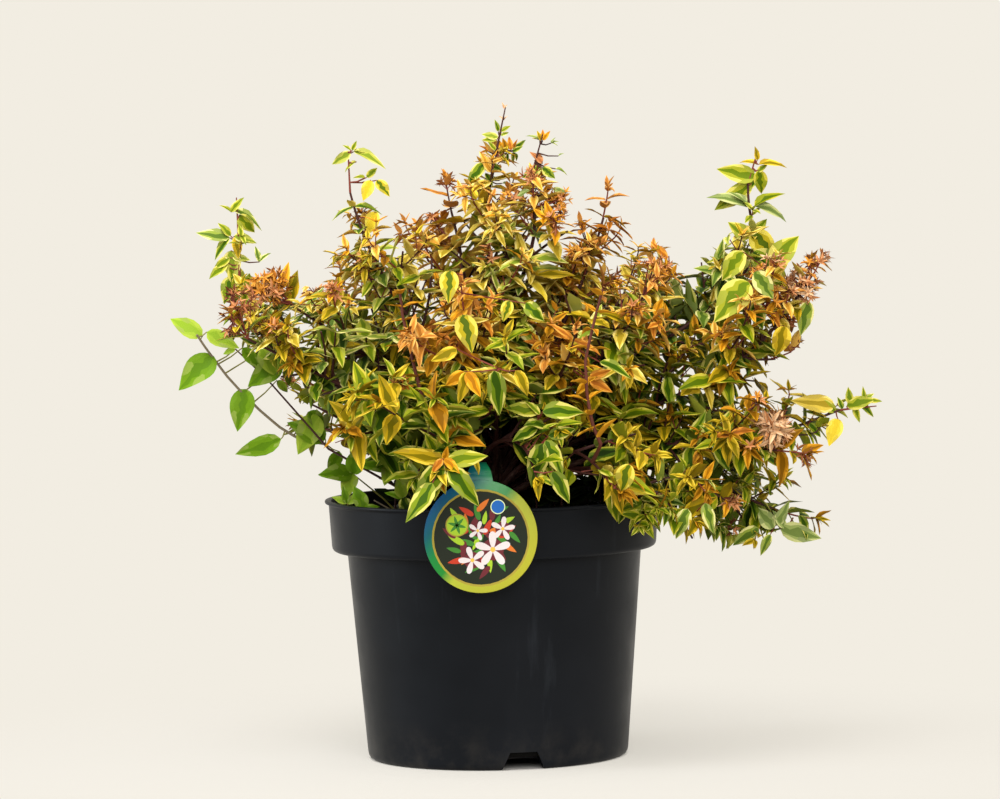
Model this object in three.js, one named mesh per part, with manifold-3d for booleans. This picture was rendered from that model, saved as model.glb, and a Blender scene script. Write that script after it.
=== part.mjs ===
// A young glossy abelia in its nursery pot, in millimetres, +Z up.
// The origin is the middle of the pot's underside, and the plant's front faces -Y.
//
// A short stem stands in the compost. Boughs leave its sides and its top, and each one ends where it
// enters a mass of foliage of its own: a stem that carries the bough on to the shoot's tip, twigs that
// branch from it by a seeded rule, and leaves sunk into stem and twigs.

import * as THREE from "three";
import { mergeVertices } from "three/addons/utils/BufferGeometryUtils.js";
import Module from "manifold-3d";

const wasm = await Module();
wasm.setup();

// Driving dimensions

const GAP = 0.3;               // clearance between two pieces that touch

const POT_HEIGHT = 182;
const LIP_RADIUS = 118.2;      // the little flange round the mouth
const LIP_THICK = 1.6;
const BAND_RADIUS = 115.5;     // the deep rim band, at its top
const BAND_FOOT_RADIUS = 113.5;
const BAND_HEIGHT = 36;
const BAND_CORNER = 3.2;       // the rounded edge under the band
const BODY_TOP_RADIUS = 103;   // the tapered body, where it meets the band
const BODY_FOOT_RADIUS = 91.5;
const WALL = 1.8;
const FOOT_CORNER = 5;         // the rounded edge round the foot
const FOOT_RING_WIDTH = 9.5;
const FOOT_RECESS = 7;         // how far the floor stands above the foot ring
const FOOT_SLANT = 4;          // how far the recess's sides lean
const FOOT_PAD_RADIUS = 22;    // the flat pad in the middle of the underside
const POT_SIDES = 32;
const HOLE_SIDES = 8;
const STEM_SIDES = 12;
const BOUGH_SIDES = 5;
const TWIG_SIDES = 3;
const STEM_LENGTHS = 6;        // straight lengths that a stem, a bough and a shoot are made of
const BOUGH_LENGTHS = 3;
const SHOOT_LENGTHS = 5;

const NOTCH_COUNT = 3;         // drain notches cut through the foot ring
const NOTCH_AZIMUTH = -79;     // degrees, the one that shows at the front
const NOTCH_FOOT_WIDTH = 31;
const NOTCH_TOP_WIDTH = 19;
const NOTCH_HEIGHT = 12.5;
const NOTCH_DEPTH = 14;
const DRAIN_HOLE_COUNT = 6;    // round holes through the recessed floor
const DRAIN_HOLE_RADIUS = 6;
const DRAIN_RING_RADIUS = 52;

const COMPOST_TOP = 161;
const COMPOST_CROWN = 4;       // how much higher the compost is at the stem

const STEM_FOOT_RADIUS = 13;
const STEM_RADIUS = 8.5;
const STEM_TAPER = 1;          // how much thinner the stem gets towards its top
const STEM_FLARE = 9;          // height over which the foot spreads
const STEM_TOP = 215;
const STEM_LEAN = 2.5;         // how far the stem's top leans to the right

const LABEL_RADIUS = 38.5;
const LABEL_THICK = 1;
const LABEL_CENTRE = [-9, 164]; // across and up
const LABEL_NECK_WIDTH = 18;
const LABEL_NECK_TOP = 220;    // height of the bend over the pot's rim
const LABEL_STAKE_FOOT = 118;  // how deep the stake reaches
const LABEL_STAKE_POINT = 16;  // length of the stake's tapered point
const LABEL_BEND_RADIUS = 15;
const BEND_STEPS = 7;

const BOUGH_FOOT_RADIUS = 2.5;
const BOUGH_TIP_RADIUS = 2.2;
const SHOOT_TIP_RADIUS = 1.4;
const BOUGH_SHARE = 0.3;       // the share of a limb that is bare bough; the rest is its foliage's stem
const TOP_BOUGHS = 4;          // boughs that leave the stem's top; the rest leave its side, in tiers
const TIER_BOUGHS = 8;
const TIER_HEIGHTS = [202, 191, 180];
const TOP_SPREAD = 80;         // least angle between neighbours on the stem's top, in degrees
const TIER_SPREAD = 40;        // and in a tier
const TOP_FOOT_RADIUS = 5.1;   // how far the top boughs stand from the stem's axis
const TOP_FOOT_SUNK = 3;       // how far every bough's line starts inside the stem
const SIDE_FOOT_SUNK = 2;
const LEVEL_START = 30;        // pitch at the stem of a limb with a level way to its tip, in degrees
const START_GAIN = 0.6;        // how much of the way's slope is added to it
const STEEPEST_START = 86;
const CURVE_HANDLE = 0.38;     // share of a limb's span over which each end keeps its pitch

const NODE_SPACING = 18;       // from one twig, or pair of leaves, to the next along a stem
const TWIG_LONGEST = 80;
const TWIG_SHORTEST = 20;
const TWIG_FOOT_RADIUS = 1.1;
const TWIG_TIP_RADIUS = 0.9;
const TWIG_ANGLE = 52;         // degrees from the stem
const TWIG_RISE = 0.15;        // how much a twig turns up towards the light
const TWIG_TRIES = [1, 0.75, 0.5]; // shares of a twig's length that are tried for room
const GOLDEN_ANGLE = 137.5;    // turn from one twig to the next
const LEAF_SPACING = 30;       // from one pair of leaves to the next along a twig
const LEAST_NODES = 3;
const FIRST_NODE = 0.6;        // how far the first node stands from a stem's foot, in node spacings
const NODES_PAST = 0.2;        // and how far the stem's tip stands past that, in the same
const FIRST_PAIR = 0.9;        // the same on a twig, in spacings of its pairs of leaves
const PAIRS_PAST = 0.6;
const TWIG_VARIES = [0.8, 1.15]; // least and greatest share of its usual length that a twig takes
const LEAF_VARIES = [0.85, 1.1];
const SPIRE_TIP_LEAF = 0.6;    // size of the last leaves on a shoot
const TWIG_TIP_LEAF = 0.8;     // and of the leaf at a twig's tip
const PAIR_TURN = 90;          // each pair of leaves stands across the one before it
const TURN_VARIES = 40;        // degrees by which a twig or pair may stray from its turn
const LEAF_LENGTH = 60;
const LEAF_WIDTH = 0.5;        // of the leaf's length
const LEAF_THICK = 1.2;        // how far the midrib lies below the edges
const LEAF_WIDEST = 0.4;       // where the leaf is widest, as a share of its length
const LEAF_FACES_UP = 0.4;     // how much leaves face up; the rest of it they face outwards
const LEAF_ANGLE = 50;         // degrees from the twig
const LEAF_TRIES = [1, 0.75, 0.55]; // shares of a leaf's length that are tried for room
const LEAF_ROOT = 6;           // the stretch by a leaf's foot that may lie in its twig
const TIP_LEAF_SIZE = 0.5;     // the leaf at a shoot's very tip
const TIP_SUNK = 3;            // how far a leaf at a tip is sunk back into its twig
const SPACE_MARGIN = 1;        // how far a mass stays inside the space that is its own
const LIMB_MARGIN = 1.2;       // how far twigs and leaves stay from a bough
const POT_MARGIN = 2.5;        // and from the pot and the label

// Every limb from the stem to the very tip of its foliage. Spire is how much of the shoot's end has
// leaves but no twigs. Pitch is how steeply the tip rises, in degrees. Start is the same where the limb
// leaves the stem, and without one it follows from the way to the tip.
const LIMBS = [
  { name: "top_middle", tip: [10, 10, 455], spire: 62, pitch: 84 },
  { name: "top_right", tip: [36, -34, 436], spire: 45, pitch: 78 },
  { name: "top_left", tip: [-32, 34, 408], spire: 40, pitch: 70 },
  { name: "upper_left", tip: [-100, -56, 424], spire: 70, pitch: 76 },
  { name: "left_spire", tip: [-178, 16, 392], spire: 80, pitch: 84, start: 36 },
  { name: "left_arm_high", tip: [-158, -52, 336], spire: 30, pitch: 34 },
  { name: "left_arm_low", tip: [-188, -82, 312], spire: 30, pitch: 28 },
  { name: "left_green", tip: [-228, -26, 306], spire: 150, pitch: 40, start: -4 },
  { name: "right_middle", tip: [88, -14, 402], spire: 50, pitch: 74 },
  { name: "right_inner", tip: [117, -84, 346], spire: 36, pitch: 58 },
  { name: "right_spire", tip: [186, 16, 424], spire: 84, pitch: 84, start: 44 },
  { name: "right_end", tip: [231, -34, 346], spire: 34, pitch: 58, start: 36 },
  { name: "far_right", tip: [270, 4, 246], spire: 110, pitch: 18 },
  { name: "right_low", tip: [220, -90, 213], spire: 30, pitch: -6 },
  { name: "right_drop", tip: [228, -30, 158], spire: 30, pitch: -22, start: 40 },
  { name: "front_right_drop", tip: [138, -112, 160], spire: 24, pitch: -42 },
  { name: "front_right", tip: [86, -168, 188], spire: 24, pitch: -36 },
  { name: "front_middle", tip: [30, -190, 200], spire: 24, pitch: -34 },
  { name: "front_left", tip: [-36, -180, 206], spire: 24, pitch: -30 },
  { name: "front_centre", tip: [6, -176, 272], spire: 24, pitch: 16 },
  { name: "left_front", tip: [-104, -134, 232], spire: 26, pitch: -6 },
  { name: "front_top", tip: [-20, -130, 338], spire: 30, pitch: 52 },
  { name: "front_top_right", tip: [62, -136, 306], spire: 30, pitch: 44 },
  { name: "back_left", tip: [-112, 146, 346], spire: 40, pitch: 60 },
  { name: "back_middle", tip: [12, 196, 318], spire: 34, pitch: 42 },
  { name: "back_right", tip: [124, 154, 352], spire: 44, pitch: 62 },
  { name: "back_low_left", tip: [-146, 136, 222], spire: 30, pitch: -4 },
  { name: "back_low_right", tip: [138, 158, 206], spire: 30, pitch: -10 },
];

const UP = new THREE.Vector3(0, 0, 1);
const RIGHT = new THREE.Vector3(1, 0, 0);
const radians = THREE.MathUtils.degToRad;
const { clamp, lerp } = THREE.MathUtils;

// A repeatable number from 0 to 1 for one draw on one twig of one limb.
function chance(limb, twig, draw) {
  const mixed = Math.sin(limb * 127.1 + twig * 311.7 + draw * 74.7) * 43758.5453;
  return mixed - Math.floor(mixed);
}

// Between solids and geometries

function solidFrom(geometry) {
  const bare = new THREE.BufferGeometry();
  bare.setAttribute("position", geometry.getAttribute("position").clone());
  if (geometry.index) {
    bare.setIndex(geometry.index.clone());
  }
  const merged = mergeVertices(bare, 1e-4);
  return new wasm.Manifold(new wasm.Mesh({
    numProp: 3,
    vertProperties: new Float32Array(merged.attributes.position.array),
    triVerts: new Uint32Array(merged.index.array),
  }));
}

function geometryFrom(solid) {
  const { numProp, numVert, vertProperties, triVerts } = solid.getMesh();
  const places = new Float32Array(numVert * 3);
  for (let vertex = 0; vertex < numVert; vertex += 1) {
    places.set(vertProperties.subarray(vertex * numProp, vertex * numProp + 3), vertex * 3);
  }
  const geometry = new THREE.BufferGeometry();
  geometry.setAttribute("position", new THREE.BufferAttribute(places, 3));
  geometry.setIndex(new THREE.BufferAttribute(triVerts, 1));
  return geometry;
}

// The largest body of a solid, without the scraps that a cut leaves or the hollows that fusing seals.
function largestBody(solid) {
  return solid.decompose().reduce((best, body) => (body.volume() > best.volume() ? body : best));
}

function fused(solids) {
  return largestBody(wasm.Manifold.union(solids).simplify(0.01));
}

// A lathe about Z from [radius, height] pairs that run up the outside and back down the inside.
function turned(outline) {
  const points = outline.map(([radius, height]) => new THREE.Vector2(radius, height));
  return solidFrom(new THREE.LatheGeometry(points, POT_SIDES).rotateX(Math.PI / 2));
}

// A round limb along a curve, its radius given at each share of its length.
function tapered(curve, radiusAt, sides, lengths) {
  const geometry = new THREE.CylinderGeometry(1, 1, 1, sides, lengths);
  const frames = curve.computeFrenetFrames(lengths, false);
  const places = geometry.getAttribute("position");
  for (let vertex = 0; vertex < places.count; vertex += 1) {
    const ring = Math.round((places.getY(vertex) + 0.5) * lengths);
    const share = ring / lengths;
    const radius = radiusAt(share);
    const place = curve.getPointAt(share)
      .addScaledVector(frames.normals[ring], places.getX(vertex) * radius)
      .addScaledVector(frames.binormals[ring], -places.getZ(vertex) * radius);
    places.setXYZ(vertex, place.x, place.y, place.z);
  }
  return solidFrom(geometry);
}

// Pot and compost

const BAND_FOOT = POT_HEIGHT - BAND_HEIGHT;
const RING_INNER = BODY_FOOT_RADIUS - FOOT_RING_WIDTH;

function bodyRadiusAt(height) {
  return lerp(BODY_FOOT_RADIUS, BODY_TOP_RADIUS, height / BAND_FOOT);
}

function potOutside() {
  return [
    [0, 0],
    [FOOT_PAD_RADIUS, 0],
    [FOOT_PAD_RADIUS + FOOT_SLANT, FOOT_RECESS],
    [RING_INNER - FOOT_SLANT, FOOT_RECESS],
    [RING_INNER, 0],
    [BODY_FOOT_RADIUS - FOOT_CORNER, 0],
    [BODY_FOOT_RADIUS - 0.3 * FOOT_CORNER, 0.3 * FOOT_CORNER],
    [bodyRadiusAt(FOOT_CORNER), FOOT_CORNER],
    [BODY_TOP_RADIUS, BAND_FOOT],
    [BAND_FOOT_RADIUS - BAND_CORNER, BAND_FOOT],
    [BAND_FOOT_RADIUS, BAND_FOOT + BAND_CORNER],
    [BAND_RADIUS, POT_HEIGHT - 1.5 * LIP_THICK],
    [LIP_RADIUS, POT_HEIGHT - LIP_THICK],
    [LIP_RADIUS, POT_HEIGHT],
  ];
}

// The pot's inner face from its mouth down to the middle of its floor.
function potInside() {
  return [
    [BAND_RADIUS - WALL, POT_HEIGHT],
    [BAND_FOOT_RADIUS - WALL, BAND_FOOT + BAND_CORNER],
    [BODY_TOP_RADIUS - WALL, BAND_FOOT + WALL],
    [bodyRadiusAt(FOOT_CORNER) - WALL, FOOT_CORNER],
    [BODY_FOOT_RADIUS - FOOT_CORNER, WALL],
    [RING_INNER + 1, WALL],
    [RING_INNER + 1 - FOOT_SLANT, FOOT_RECESS + WALL],
    [0, FOOT_RECESS + WALL],
  ];
}

function aroundTheFoot(count, firstAzimuth, makeGeometry) {
  return Array.from({ length: count }, (_, index) => (
    solidFrom(makeGeometry().rotateZ(radians(firstAzimuth + (index * 360) / count)))
  ));
}

// The drain notches as prisms that point outwards, open at the foot.
function drainNotches() {
  const section = new THREE.Shape([
    new THREE.Vector2(-NOTCH_FOOT_WIDTH / 2, -1),
    new THREE.Vector2(NOTCH_FOOT_WIDTH / 2, -1),
    new THREE.Vector2(NOTCH_TOP_WIDTH / 2, NOTCH_HEIGHT),
    new THREE.Vector2(-NOTCH_TOP_WIDTH / 2, NOTCH_HEIGHT),
  ]);
  return aroundTheFoot(NOTCH_COUNT, NOTCH_AZIMUTH, () => (
    new THREE.ExtrudeGeometry(section, { depth: 2 * NOTCH_DEPTH, bevelEnabled: false })
      .rotateX(Math.PI / 2)
      .rotateZ(Math.PI / 2)
      .translate(BODY_FOOT_RADIUS - NOTCH_DEPTH, 0, 0)
  ));
}

function drainHoles() {
  return aroundTheFoot(DRAIN_HOLE_COUNT, 0, () => (
    new THREE.CylinderGeometry(DRAIN_HOLE_RADIUS, DRAIN_HOLE_RADIUS, 2 * FOOT_RECESS, HOLE_SIDES)
      .rotateX(Math.PI / 2)
      .translate(DRAIN_RING_RADIUS, 0, FOOT_RECESS)
  ));
}

function potSolid() {
  const openings = wasm.Manifold.union([...drainNotches(), ...drainHoles()]);
  return largestBody(turned([...potOutside(), ...potInside()]).subtract(openings));
}

// The compost stands on the raised floor and fills the pot to just above the foot of its band.
function compostSolid() {
  const floor = FOOT_RECESS + WALL + GAP;
  const ledge = BAND_FOOT + WALL + GAP;
  const wall = WALL + GAP;
  const ball = turned([
    [0, floor],
    [bodyRadiusAt(floor) - wall, floor],
    [BODY_TOP_RADIUS - wall, ledge],
    [BAND_FOOT_RADIUS - wall - BAND_CORNER, ledge + BAND_CORNER],
    [BAND_FOOT_RADIUS - wall, COMPOST_TOP],
    [0, COMPOST_TOP + COMPOST_CROWN],
  ]);
  return largestBody(ball.subtract(labelStrap(GAP)));
}

// Label: a round plate in front of the rim, on a strap that bends over the rim into the compost

const LABEL_BACK = -(LIP_RADIUS + GAP);
const LABEL_BEND_HEIGHT = LABEL_NECK_TOP - LABEL_BEND_RADIUS;

function labelStrap(margin) {
  const front = LABEL_BACK - LABEL_THICK - margin;
  const outer = LABEL_BEND_RADIUS + margin;
  const inner = LABEL_BEND_RADIUS - LABEL_THICK - margin;
  const middle = front + outer;
  const side = new THREE.Shape();
  side.moveTo(front, LABEL_CENTRE[1]);
  side.absarc(middle, LABEL_BEND_HEIGHT, outer, Math.PI, 0, true);
  side.lineTo(middle + outer, LABEL_STAKE_FOOT - margin);
  side.lineTo(middle + inner, LABEL_STAKE_FOOT - margin);
  side.absarc(middle, LABEL_BEND_HEIGHT, inner, 0, Math.PI, false);
  side.lineTo(middle - inner, LABEL_CENTRE[1]);
  const width = LABEL_NECK_WIDTH / 2 + margin;
  const face = new THREE.Shape([
    new THREE.Vector2(0, LABEL_STAKE_FOOT - margin),
    new THREE.Vector2(width, LABEL_STAKE_FOOT + LABEL_STAKE_POINT),
    new THREE.Vector2(width, LABEL_NECK_TOP + 1),
    new THREE.Vector2(-width, LABEL_NECK_TOP + 1),
    new THREE.Vector2(-width, LABEL_STAKE_FOOT + LABEL_STAKE_POINT),
  ]);
  const across = { depth: 2 * width, bevelEnabled: false, curveSegments: BEND_STEPS };
  const bent = new THREE.ExtrudeGeometry(side, across)
    .rotateX(Math.PI / 2)
    .rotateZ(Math.PI / 2)
    .translate(LABEL_CENTRE[0] - width, 0, 0);
  const faced = new THREE.ExtrudeGeometry(face, { depth: 2 * LIP_RADIUS, bevelEnabled: false })
    .rotateX(Math.PI / 2)
    .translate(LABEL_CENTRE[0], 0, 0);
  return solidFrom(bent).intersect(solidFrom(faced));
}

function labelSolid() {
  const disc = new THREE.CylinderGeometry(LABEL_RADIUS, LABEL_RADIUS, LABEL_THICK, POT_SIDES)
    .translate(LABEL_CENTRE[0], LABEL_BACK - LABEL_THICK / 2, LABEL_CENTRE[1]);
  return fused([labelStrap(0), solidFrom(disc)]);
}

// Stem and boughs

const STEM_FOOT = COMPOST_TOP + COMPOST_CROWN + GAP;

function stemSolid(margin) {
  const line = new THREE.QuadraticBezierCurve3(
    new THREE.Vector3(0, 0, STEM_FOOT),
    new THREE.Vector3(0, 0, lerp(STEM_FOOT, STEM_TOP, 0.5)),
    new THREE.Vector3(STEM_LEAN, 0, STEM_TOP + margin),
  );
  const flareShare = STEM_FLARE / (STEM_TOP - STEM_FOOT);
  const radiusAt = (share) => {
    const flare = clamp(1 - share / flareShare, 0, 1);
    return lerp(STEM_RADIUS, STEM_FOOT_RADIUS, flare ** 2) - share * STEM_TAPER + margin;
  };
  return tapered(line, radiusAt, STEM_SIDES, STEM_LENGTHS);
}

// Angles moved apart, in order, until neighbours round the circle keep their room.
function movedApart(angles, room) {
  const order = angles.map((angle, index) => ({ angle, index })).sort((a, b) => a.angle - b.angle);
  for (let pass = 0; pass < 200; pass += 1) {
    order.forEach((one, place) => {
      const next = order[(place + 1) % order.length];
      const between = next.angle - one.angle + (place + 1 < order.length ? 0 : 360);
      const lack = Math.max(0, room - between);
      one.angle -= lack / 2;
      next.angle += lack / 2;
    });
  }
  return order.sort((a, b) => a.index - b.index).map(({ angle }) => angle);
}

function outwardsAt(azimuth) {
  return RIGHT.clone().applyAxisAngle(UP, radians(azimuth));
}

function slopeOf({ tip: [x, y, z] }) {
  return THREE.MathUtils.radToDeg(Math.atan2(z - STEM_TOP, Math.hypot(x, y)));
}

// Where each limb leaves the stem: the steepest at its top, the others at its side, steeper ones higher.
function withFeet(list) {
  const rest = [...list].sort((a, b) => slopeOf(b) - slopeOf(a));
  const placed = (group, room, radius, height) => {
    const azimuths = group.map(({ tip: [x, y] }) => THREE.MathUtils.radToDeg(Math.atan2(y, x)));
    return movedApart(azimuths, room).map((azimuth, index) => {
      const footwards = outwardsAt(azimuth);
      const lean = (STEM_LEAN * (height - COMPOST_TOP)) / (STEM_TOP - COMPOST_TOP);
      const foot = footwards.clone().multiplyScalar(radius).add(new THREE.Vector3(lean, 0, height));
      return { ...group[index], foot, footwards };
    });
  };
  const topHeight = STEM_TOP - TOP_FOOT_SUNK;
  const top = placed(rest.splice(0, TOP_BOUGHS), TOP_SPREAD, TOP_FOOT_RADIUS, topHeight);
  const tiers = TIER_HEIGHTS.map((height) => (
    placed(rest.splice(0, TIER_BOUGHS), TIER_SPREAD, STEM_RADIUS - SIDE_FOOT_SUNK, height)
  ));
  const feet = new Map([...top, ...tiers.flat()].map((limb) => [limb.name, limb]));
  return list.map(({ name }) => feet.get(name));
}

// A limb's whole line: it leaves the stem towards its tip, arches over and ends at its pitch.
function limbLine(limb) {
  const aim = (level, pitch) => level.clone().multiplyScalar(Math.cos(radians(pitch)))
    .addScaledVector(UP, Math.sin(radians(pitch)));
  const reach = new THREE.Vector3(...limb.tip);
  const tipwards = aim(reach.clone().setZ(0).normalize(), limb.pitch);
  const end = reach.addScaledVector(tipwards, TIP_SUNK - TIP_LEAF_SIZE * LEAF_LENGTH);
  const handle = CURVE_HANDLE * limb.foot.distanceTo(end);
  const usualStart = LEVEL_START + START_GAIN * slopeOf(limb);
  const footPitch = limb.start ?? clamp(usualStart, LEVEL_START, STEEPEST_START);
  return new THREE.CubicBezierCurve3(
    limb.foot,
    limb.foot.clone().addScaledVector(aim(limb.footwards, footPitch), handle),
    end.clone().addScaledVector(tipwards, -handle),
    end,
  );
}

// The stretch of a limb's line between two shares of its length, as a curve of its own.
class Stretch extends THREE.Curve {
  constructor(line, from, to) {
    super();
    Object.assign(this, { line, from, to });
  }

  getPoint(share, target = new THREE.Vector3()) {
    return target.copy(this.line.getPointAt(lerp(this.from, this.to, share)));
  }
}

const STEM_CLEARANCE = stemSolid(GAP);

function boughSolid(bough) {
  const radiusAt = (share) => lerp(BOUGH_FOOT_RADIUS, BOUGH_TIP_RADIUS, share);
  return largestBody(tapered(bough, radiusAt, BOUGH_SIDES, BOUGH_LENGTHS).subtract(STEM_CLEARANCE));
}

// Foliage

const limbs = withFeet(LIMBS).map((limb) => {
  const line = limbLine(limb);
  const bough = new Stretch(line, 0, BOUGH_SHARE);
  const shoot = new Stretch(line, BOUGH_SHARE + GAP / line.getLength(), 1);
  return { ...limb, bough, shoot, boughPath: bough.getPoints(8), shootPath: shoot.getPoints(12) };
});

const EDGE_SHARES = [0, 0.2, 0.4, 0.6, 0.8, 1];
const piece = new THREE.Line3();
const nearest = new THREE.Vector3();

function distanceTo(path, point) {
  let least = Infinity;
  for (let index = 1; index < path.length; index += 1) {
    piece.set(path[index - 1], path[index]).closestPointToPoint(point, true, nearest);
    least = Math.min(least, nearest.distanceTo(point));
  }
  return least;
}

function nearPotOrLabel({ x, y, z }) {
  const across = Math.abs(x - LABEL_CENTRE[0]);
  const front = LABEL_BACK - LABEL_THICK - POT_MARGIN;
  const overPot = Math.hypot(x, y) < LIP_RADIUS + POT_MARGIN && z < POT_HEIGHT + POT_MARGIN;
  const overDisc = across < LABEL_RADIUS && y > front && y < 0 && z < LABEL_CENTRE[1] + LABEL_RADIUS;
  const overNeck = across < LABEL_NECK_WIDTH / 2 + POT_MARGIN && y > front
    && y < front + 2 * (LABEL_BEND_RADIUS + POT_MARGIN) && z < LABEL_NECK_TOP + POT_MARGIN;
  return overPot || overDisc || overNeck;
}

// Whether a point lies in a limb's own space: nearest to its shoot, and clear of every bough.
function inOwnSpace(limb, point) {
  if (nearPotOrLabel(point)) {
    return false;
  }
  const own = distanceTo(limb.shootPath, point);
  return limbs.every((other) => (
    distanceTo(other.boughPath, point) > BOUGH_FOOT_RADIUS + LIMB_MARGIN
    && (other === limb || distanceTo(other.shootPath, point) - own > 2 * SPACE_MARGIN)
  ));
}

// A direction at an angle to a stem, turned about it.
function branching(along, angle, turn) {
  const across = new THREE.Vector3().crossVectors(along, Math.abs(along.z) > 0.9 ? RIGHT : UP);
  const side = across.normalize().applyAxisAngle(along, radians(turn));
  return along.clone().multiplyScalar(Math.cos(radians(angle)))
    .addScaledVector(side, Math.sin(radians(angle)));
}

// A leaf's foot, tip, left edge and right edge. Its midrib, foot to tip, lies a little below its edges.
function leafCorners(foot, along, length) {
  const outwards = new THREE.Vector3(foot.x, foot.y, 0).normalize();
  const face = UP.clone().multiplyScalar(LEAF_FACES_UP).addScaledVector(outwards, 1 - LEAF_FACES_UP);
  face.addScaledVector(along, -face.dot(along)).normalize();
  const across = along.clone().cross(face).multiplyScalar(0.5 * LEAF_WIDTH * length);
  const widest = foot.clone().addScaledVector(along, LEAF_WIDEST * length)
    .addScaledVector(face, LEAF_THICK);
  const tip = foot.clone().addScaledVector(along, length);
  return [foot, tip, widest.clone().sub(across), widest.clone().add(across)];
}

// A leaf's four corners, taken in turn, close a thin blade folded along its midrib.
function leafSolid(corners) {
  const geometry = new THREE.TetrahedronGeometry(1, 0);
  const places = geometry.getAttribute("position");
  for (let vertex = 0; vertex < places.count; vertex += 1) {
    const right = places.getX(vertex) > 0;
    const low = places.getZ(vertex) > 0;
    const corner = corners[low ? Number(!right) : 2 + Number(right)];
    places.setXYZ(vertex, corner.x, corner.y, corner.z);
  }
  return solidFrom(geometry);
}

// Whether a leaf has room: every edge keeps to the limb's own space, but for its root in the twig.
function hasRoom(limb, corners) {
  return corners.every((start, index) => corners.slice(index + 1).every((end) => (
    EDGE_SHARES.every((share) => {
      const point = start.clone().lerp(end, share);
      return point.distanceTo(corners[0]) < LEAF_ROOT || inOwnSpace(limb, point);
    })
  )));
}

// Everything that grows on one limb's shoot, as solids to be fused with its stem.
function foliage(limb, limbIndex) {
  const grown = [];
  const stretch = limb.shoot.getLength();

  // A leaf grows where it stays in the limb's own space, smaller if need be, and is skipped elsewhere.
  const addLeaf = (foot, along, size) => {
    const corners = LEAF_TRIES.map((share) => leafCorners(foot, along, LEAF_LENGTH * size * share))
      .find((tried) => hasRoom(limb, tried));
    if (corners) {
      grown.push(leafSolid(corners));
    }
  };

  const addPair = (foot, along, turn, size) => {
    addLeaf(foot, branching(along, LEAF_ANGLE, turn), size);
    addLeaf(foot, branching(along, LEAF_ANGLE, turn + 180), size);
  };

  const addTwig = (foot, along, turn, longest, twig) => {
    const outwards = branching(along, TWIG_ANGLE, turn).addScaledVector(UP, TWIG_RISE).normalize();
    const line = TWIG_TRIES.map((share) => (
      new THREE.LineCurve3(foot, foot.clone().addScaledVector(outwards, longest * share))
    )).find((way) => way.getPoints(6).slice(1).every((point) => inOwnSpace(limb, point)));
    if (!line) {
      return;
    }
    const length = line.getLength();
    grown.push(tapered(line, (at) => lerp(TWIG_FOOT_RADIUS, TWIG_TIP_RADIUS, at), TWIG_SIDES, 1));
    const pairs = Math.max(1, Math.round(length / LEAF_SPACING) - 1);
    for (let pair = 0; pair < pairs; pair += 1) {
      const size = lerp(...LEAF_VARIES, chance(limbIndex, twig, 3 + pair));
      const turned = PAIR_TURN * pair + TURN_VARIES * chance(limbIndex, twig, 8 + pair);
      addPair(line.getPoint((pair + FIRST_PAIR) / (pairs + PAIRS_PAST)), outwards, turned, size);
    }
    addLeaf(line.getPoint(1).addScaledVector(outwards, -TIP_SUNK), outwards, TWIG_TIP_LEAF);
  };

  const nodes = Math.max(LEAST_NODES, Math.round(stretch / NODE_SPACING));
  for (let node = 0; node < nodes; node += 1) {
    const share = (node + FIRST_NODE) / (nodes + NODES_PAST);
    const foot = limb.shoot.getPointAt(share);
    const along = limb.shoot.getTangentAt(share);
    const turn = node * GOLDEN_ANGLE + TURN_VARIES * chance(limbIndex, node, 1);
    if (share * stretch < stretch - limb.spire) {
      const usual = lerp(TWIG_LONGEST, TWIG_SHORTEST, share);
      addTwig(foot, along, turn, usual * lerp(...TWIG_VARIES, chance(limbIndex, node, 2)), node);
      addLeaf(foot, branching(along, LEAF_ANGLE, turn + 180), 1);
    } else {
      addPair(foot, along, PAIR_TURN * node, lerp(1, SPIRE_TIP_LEAF, share));
    }
  }
  const tipwards = limb.shoot.getTangentAt(1);
  addLeaf(limb.shoot.getPointAt(1).addScaledVector(tipwards, -TIP_SUNK), tipwards, TIP_LEAF_SIZE);
  return grown;
}

function foliageSolid(limb, limbIndex) {
  const radiusAt = (share) => lerp(BOUGH_TIP_RADIUS, SHOOT_TIP_RADIUS, share);
  const stem = tapered(limb.shoot, radiusAt, TWIG_SIDES, SHOOT_LENGTHS);
  return fused([stem, ...foliage(limb, limbIndex)]);
}

// Materials

function finish(color, roughness) {
  return new THREE.MeshStandardMaterial({ color, roughness, metalness: 0 });
}

const blackPlastic = finish(0x22252a, 0.55);
const peat = finish(0x2a1d14, 0.95);
const bark = finish(0x4a2c22, 0.8);
const printedPlastic = finish(0x3f8f4a, 0.4);
const variegatedLeaf = finish(0xa3a53a, 0.5);
const greenLeaf = finish(0x5f9a32, 0.5);

// Assembly

const plant = new THREE.Group();

function add(name, solid, material) {
  const mesh = new THREE.Mesh(geometryFrom(solid), material);
  mesh.name = name;
  plant.add(mesh);
}

add("pot", potSolid(), blackPlastic);
add("compost", compostSolid(), peat);
add("label", labelSolid(), printedPlastic);
add("stem", stemSolid(0), bark);
limbs.forEach((limb, index) => {
  const leaf = limb.name === "left_green" ? greenLeaf : variegatedLeaf;
  add(`bough_${limb.name}`, boughSolid(limb.bough), bark);
  add(`foliage_${limb.name}`, foliageSolid(limb, index), leaf);
});

export default plant;
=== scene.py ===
# A young glossy abelia in its nursery pot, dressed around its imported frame.
# Lengths are in metres and angles in degrees, +Z is up, and the plant's front faces -Y.
# The origin is the middle of the pot's underside.
#
# The limbs, twigs and sprays grow by the rule that made the frame's solids. Each leaf solid there
# stands for a spray here: a thin shoot with pairs of leaves at their real size, and a tuft at its tip.

import math
import random

import bmesh
import bpy
import numpy as np
from mathutils import Matrix, Quaternion, Vector, noise


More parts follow.
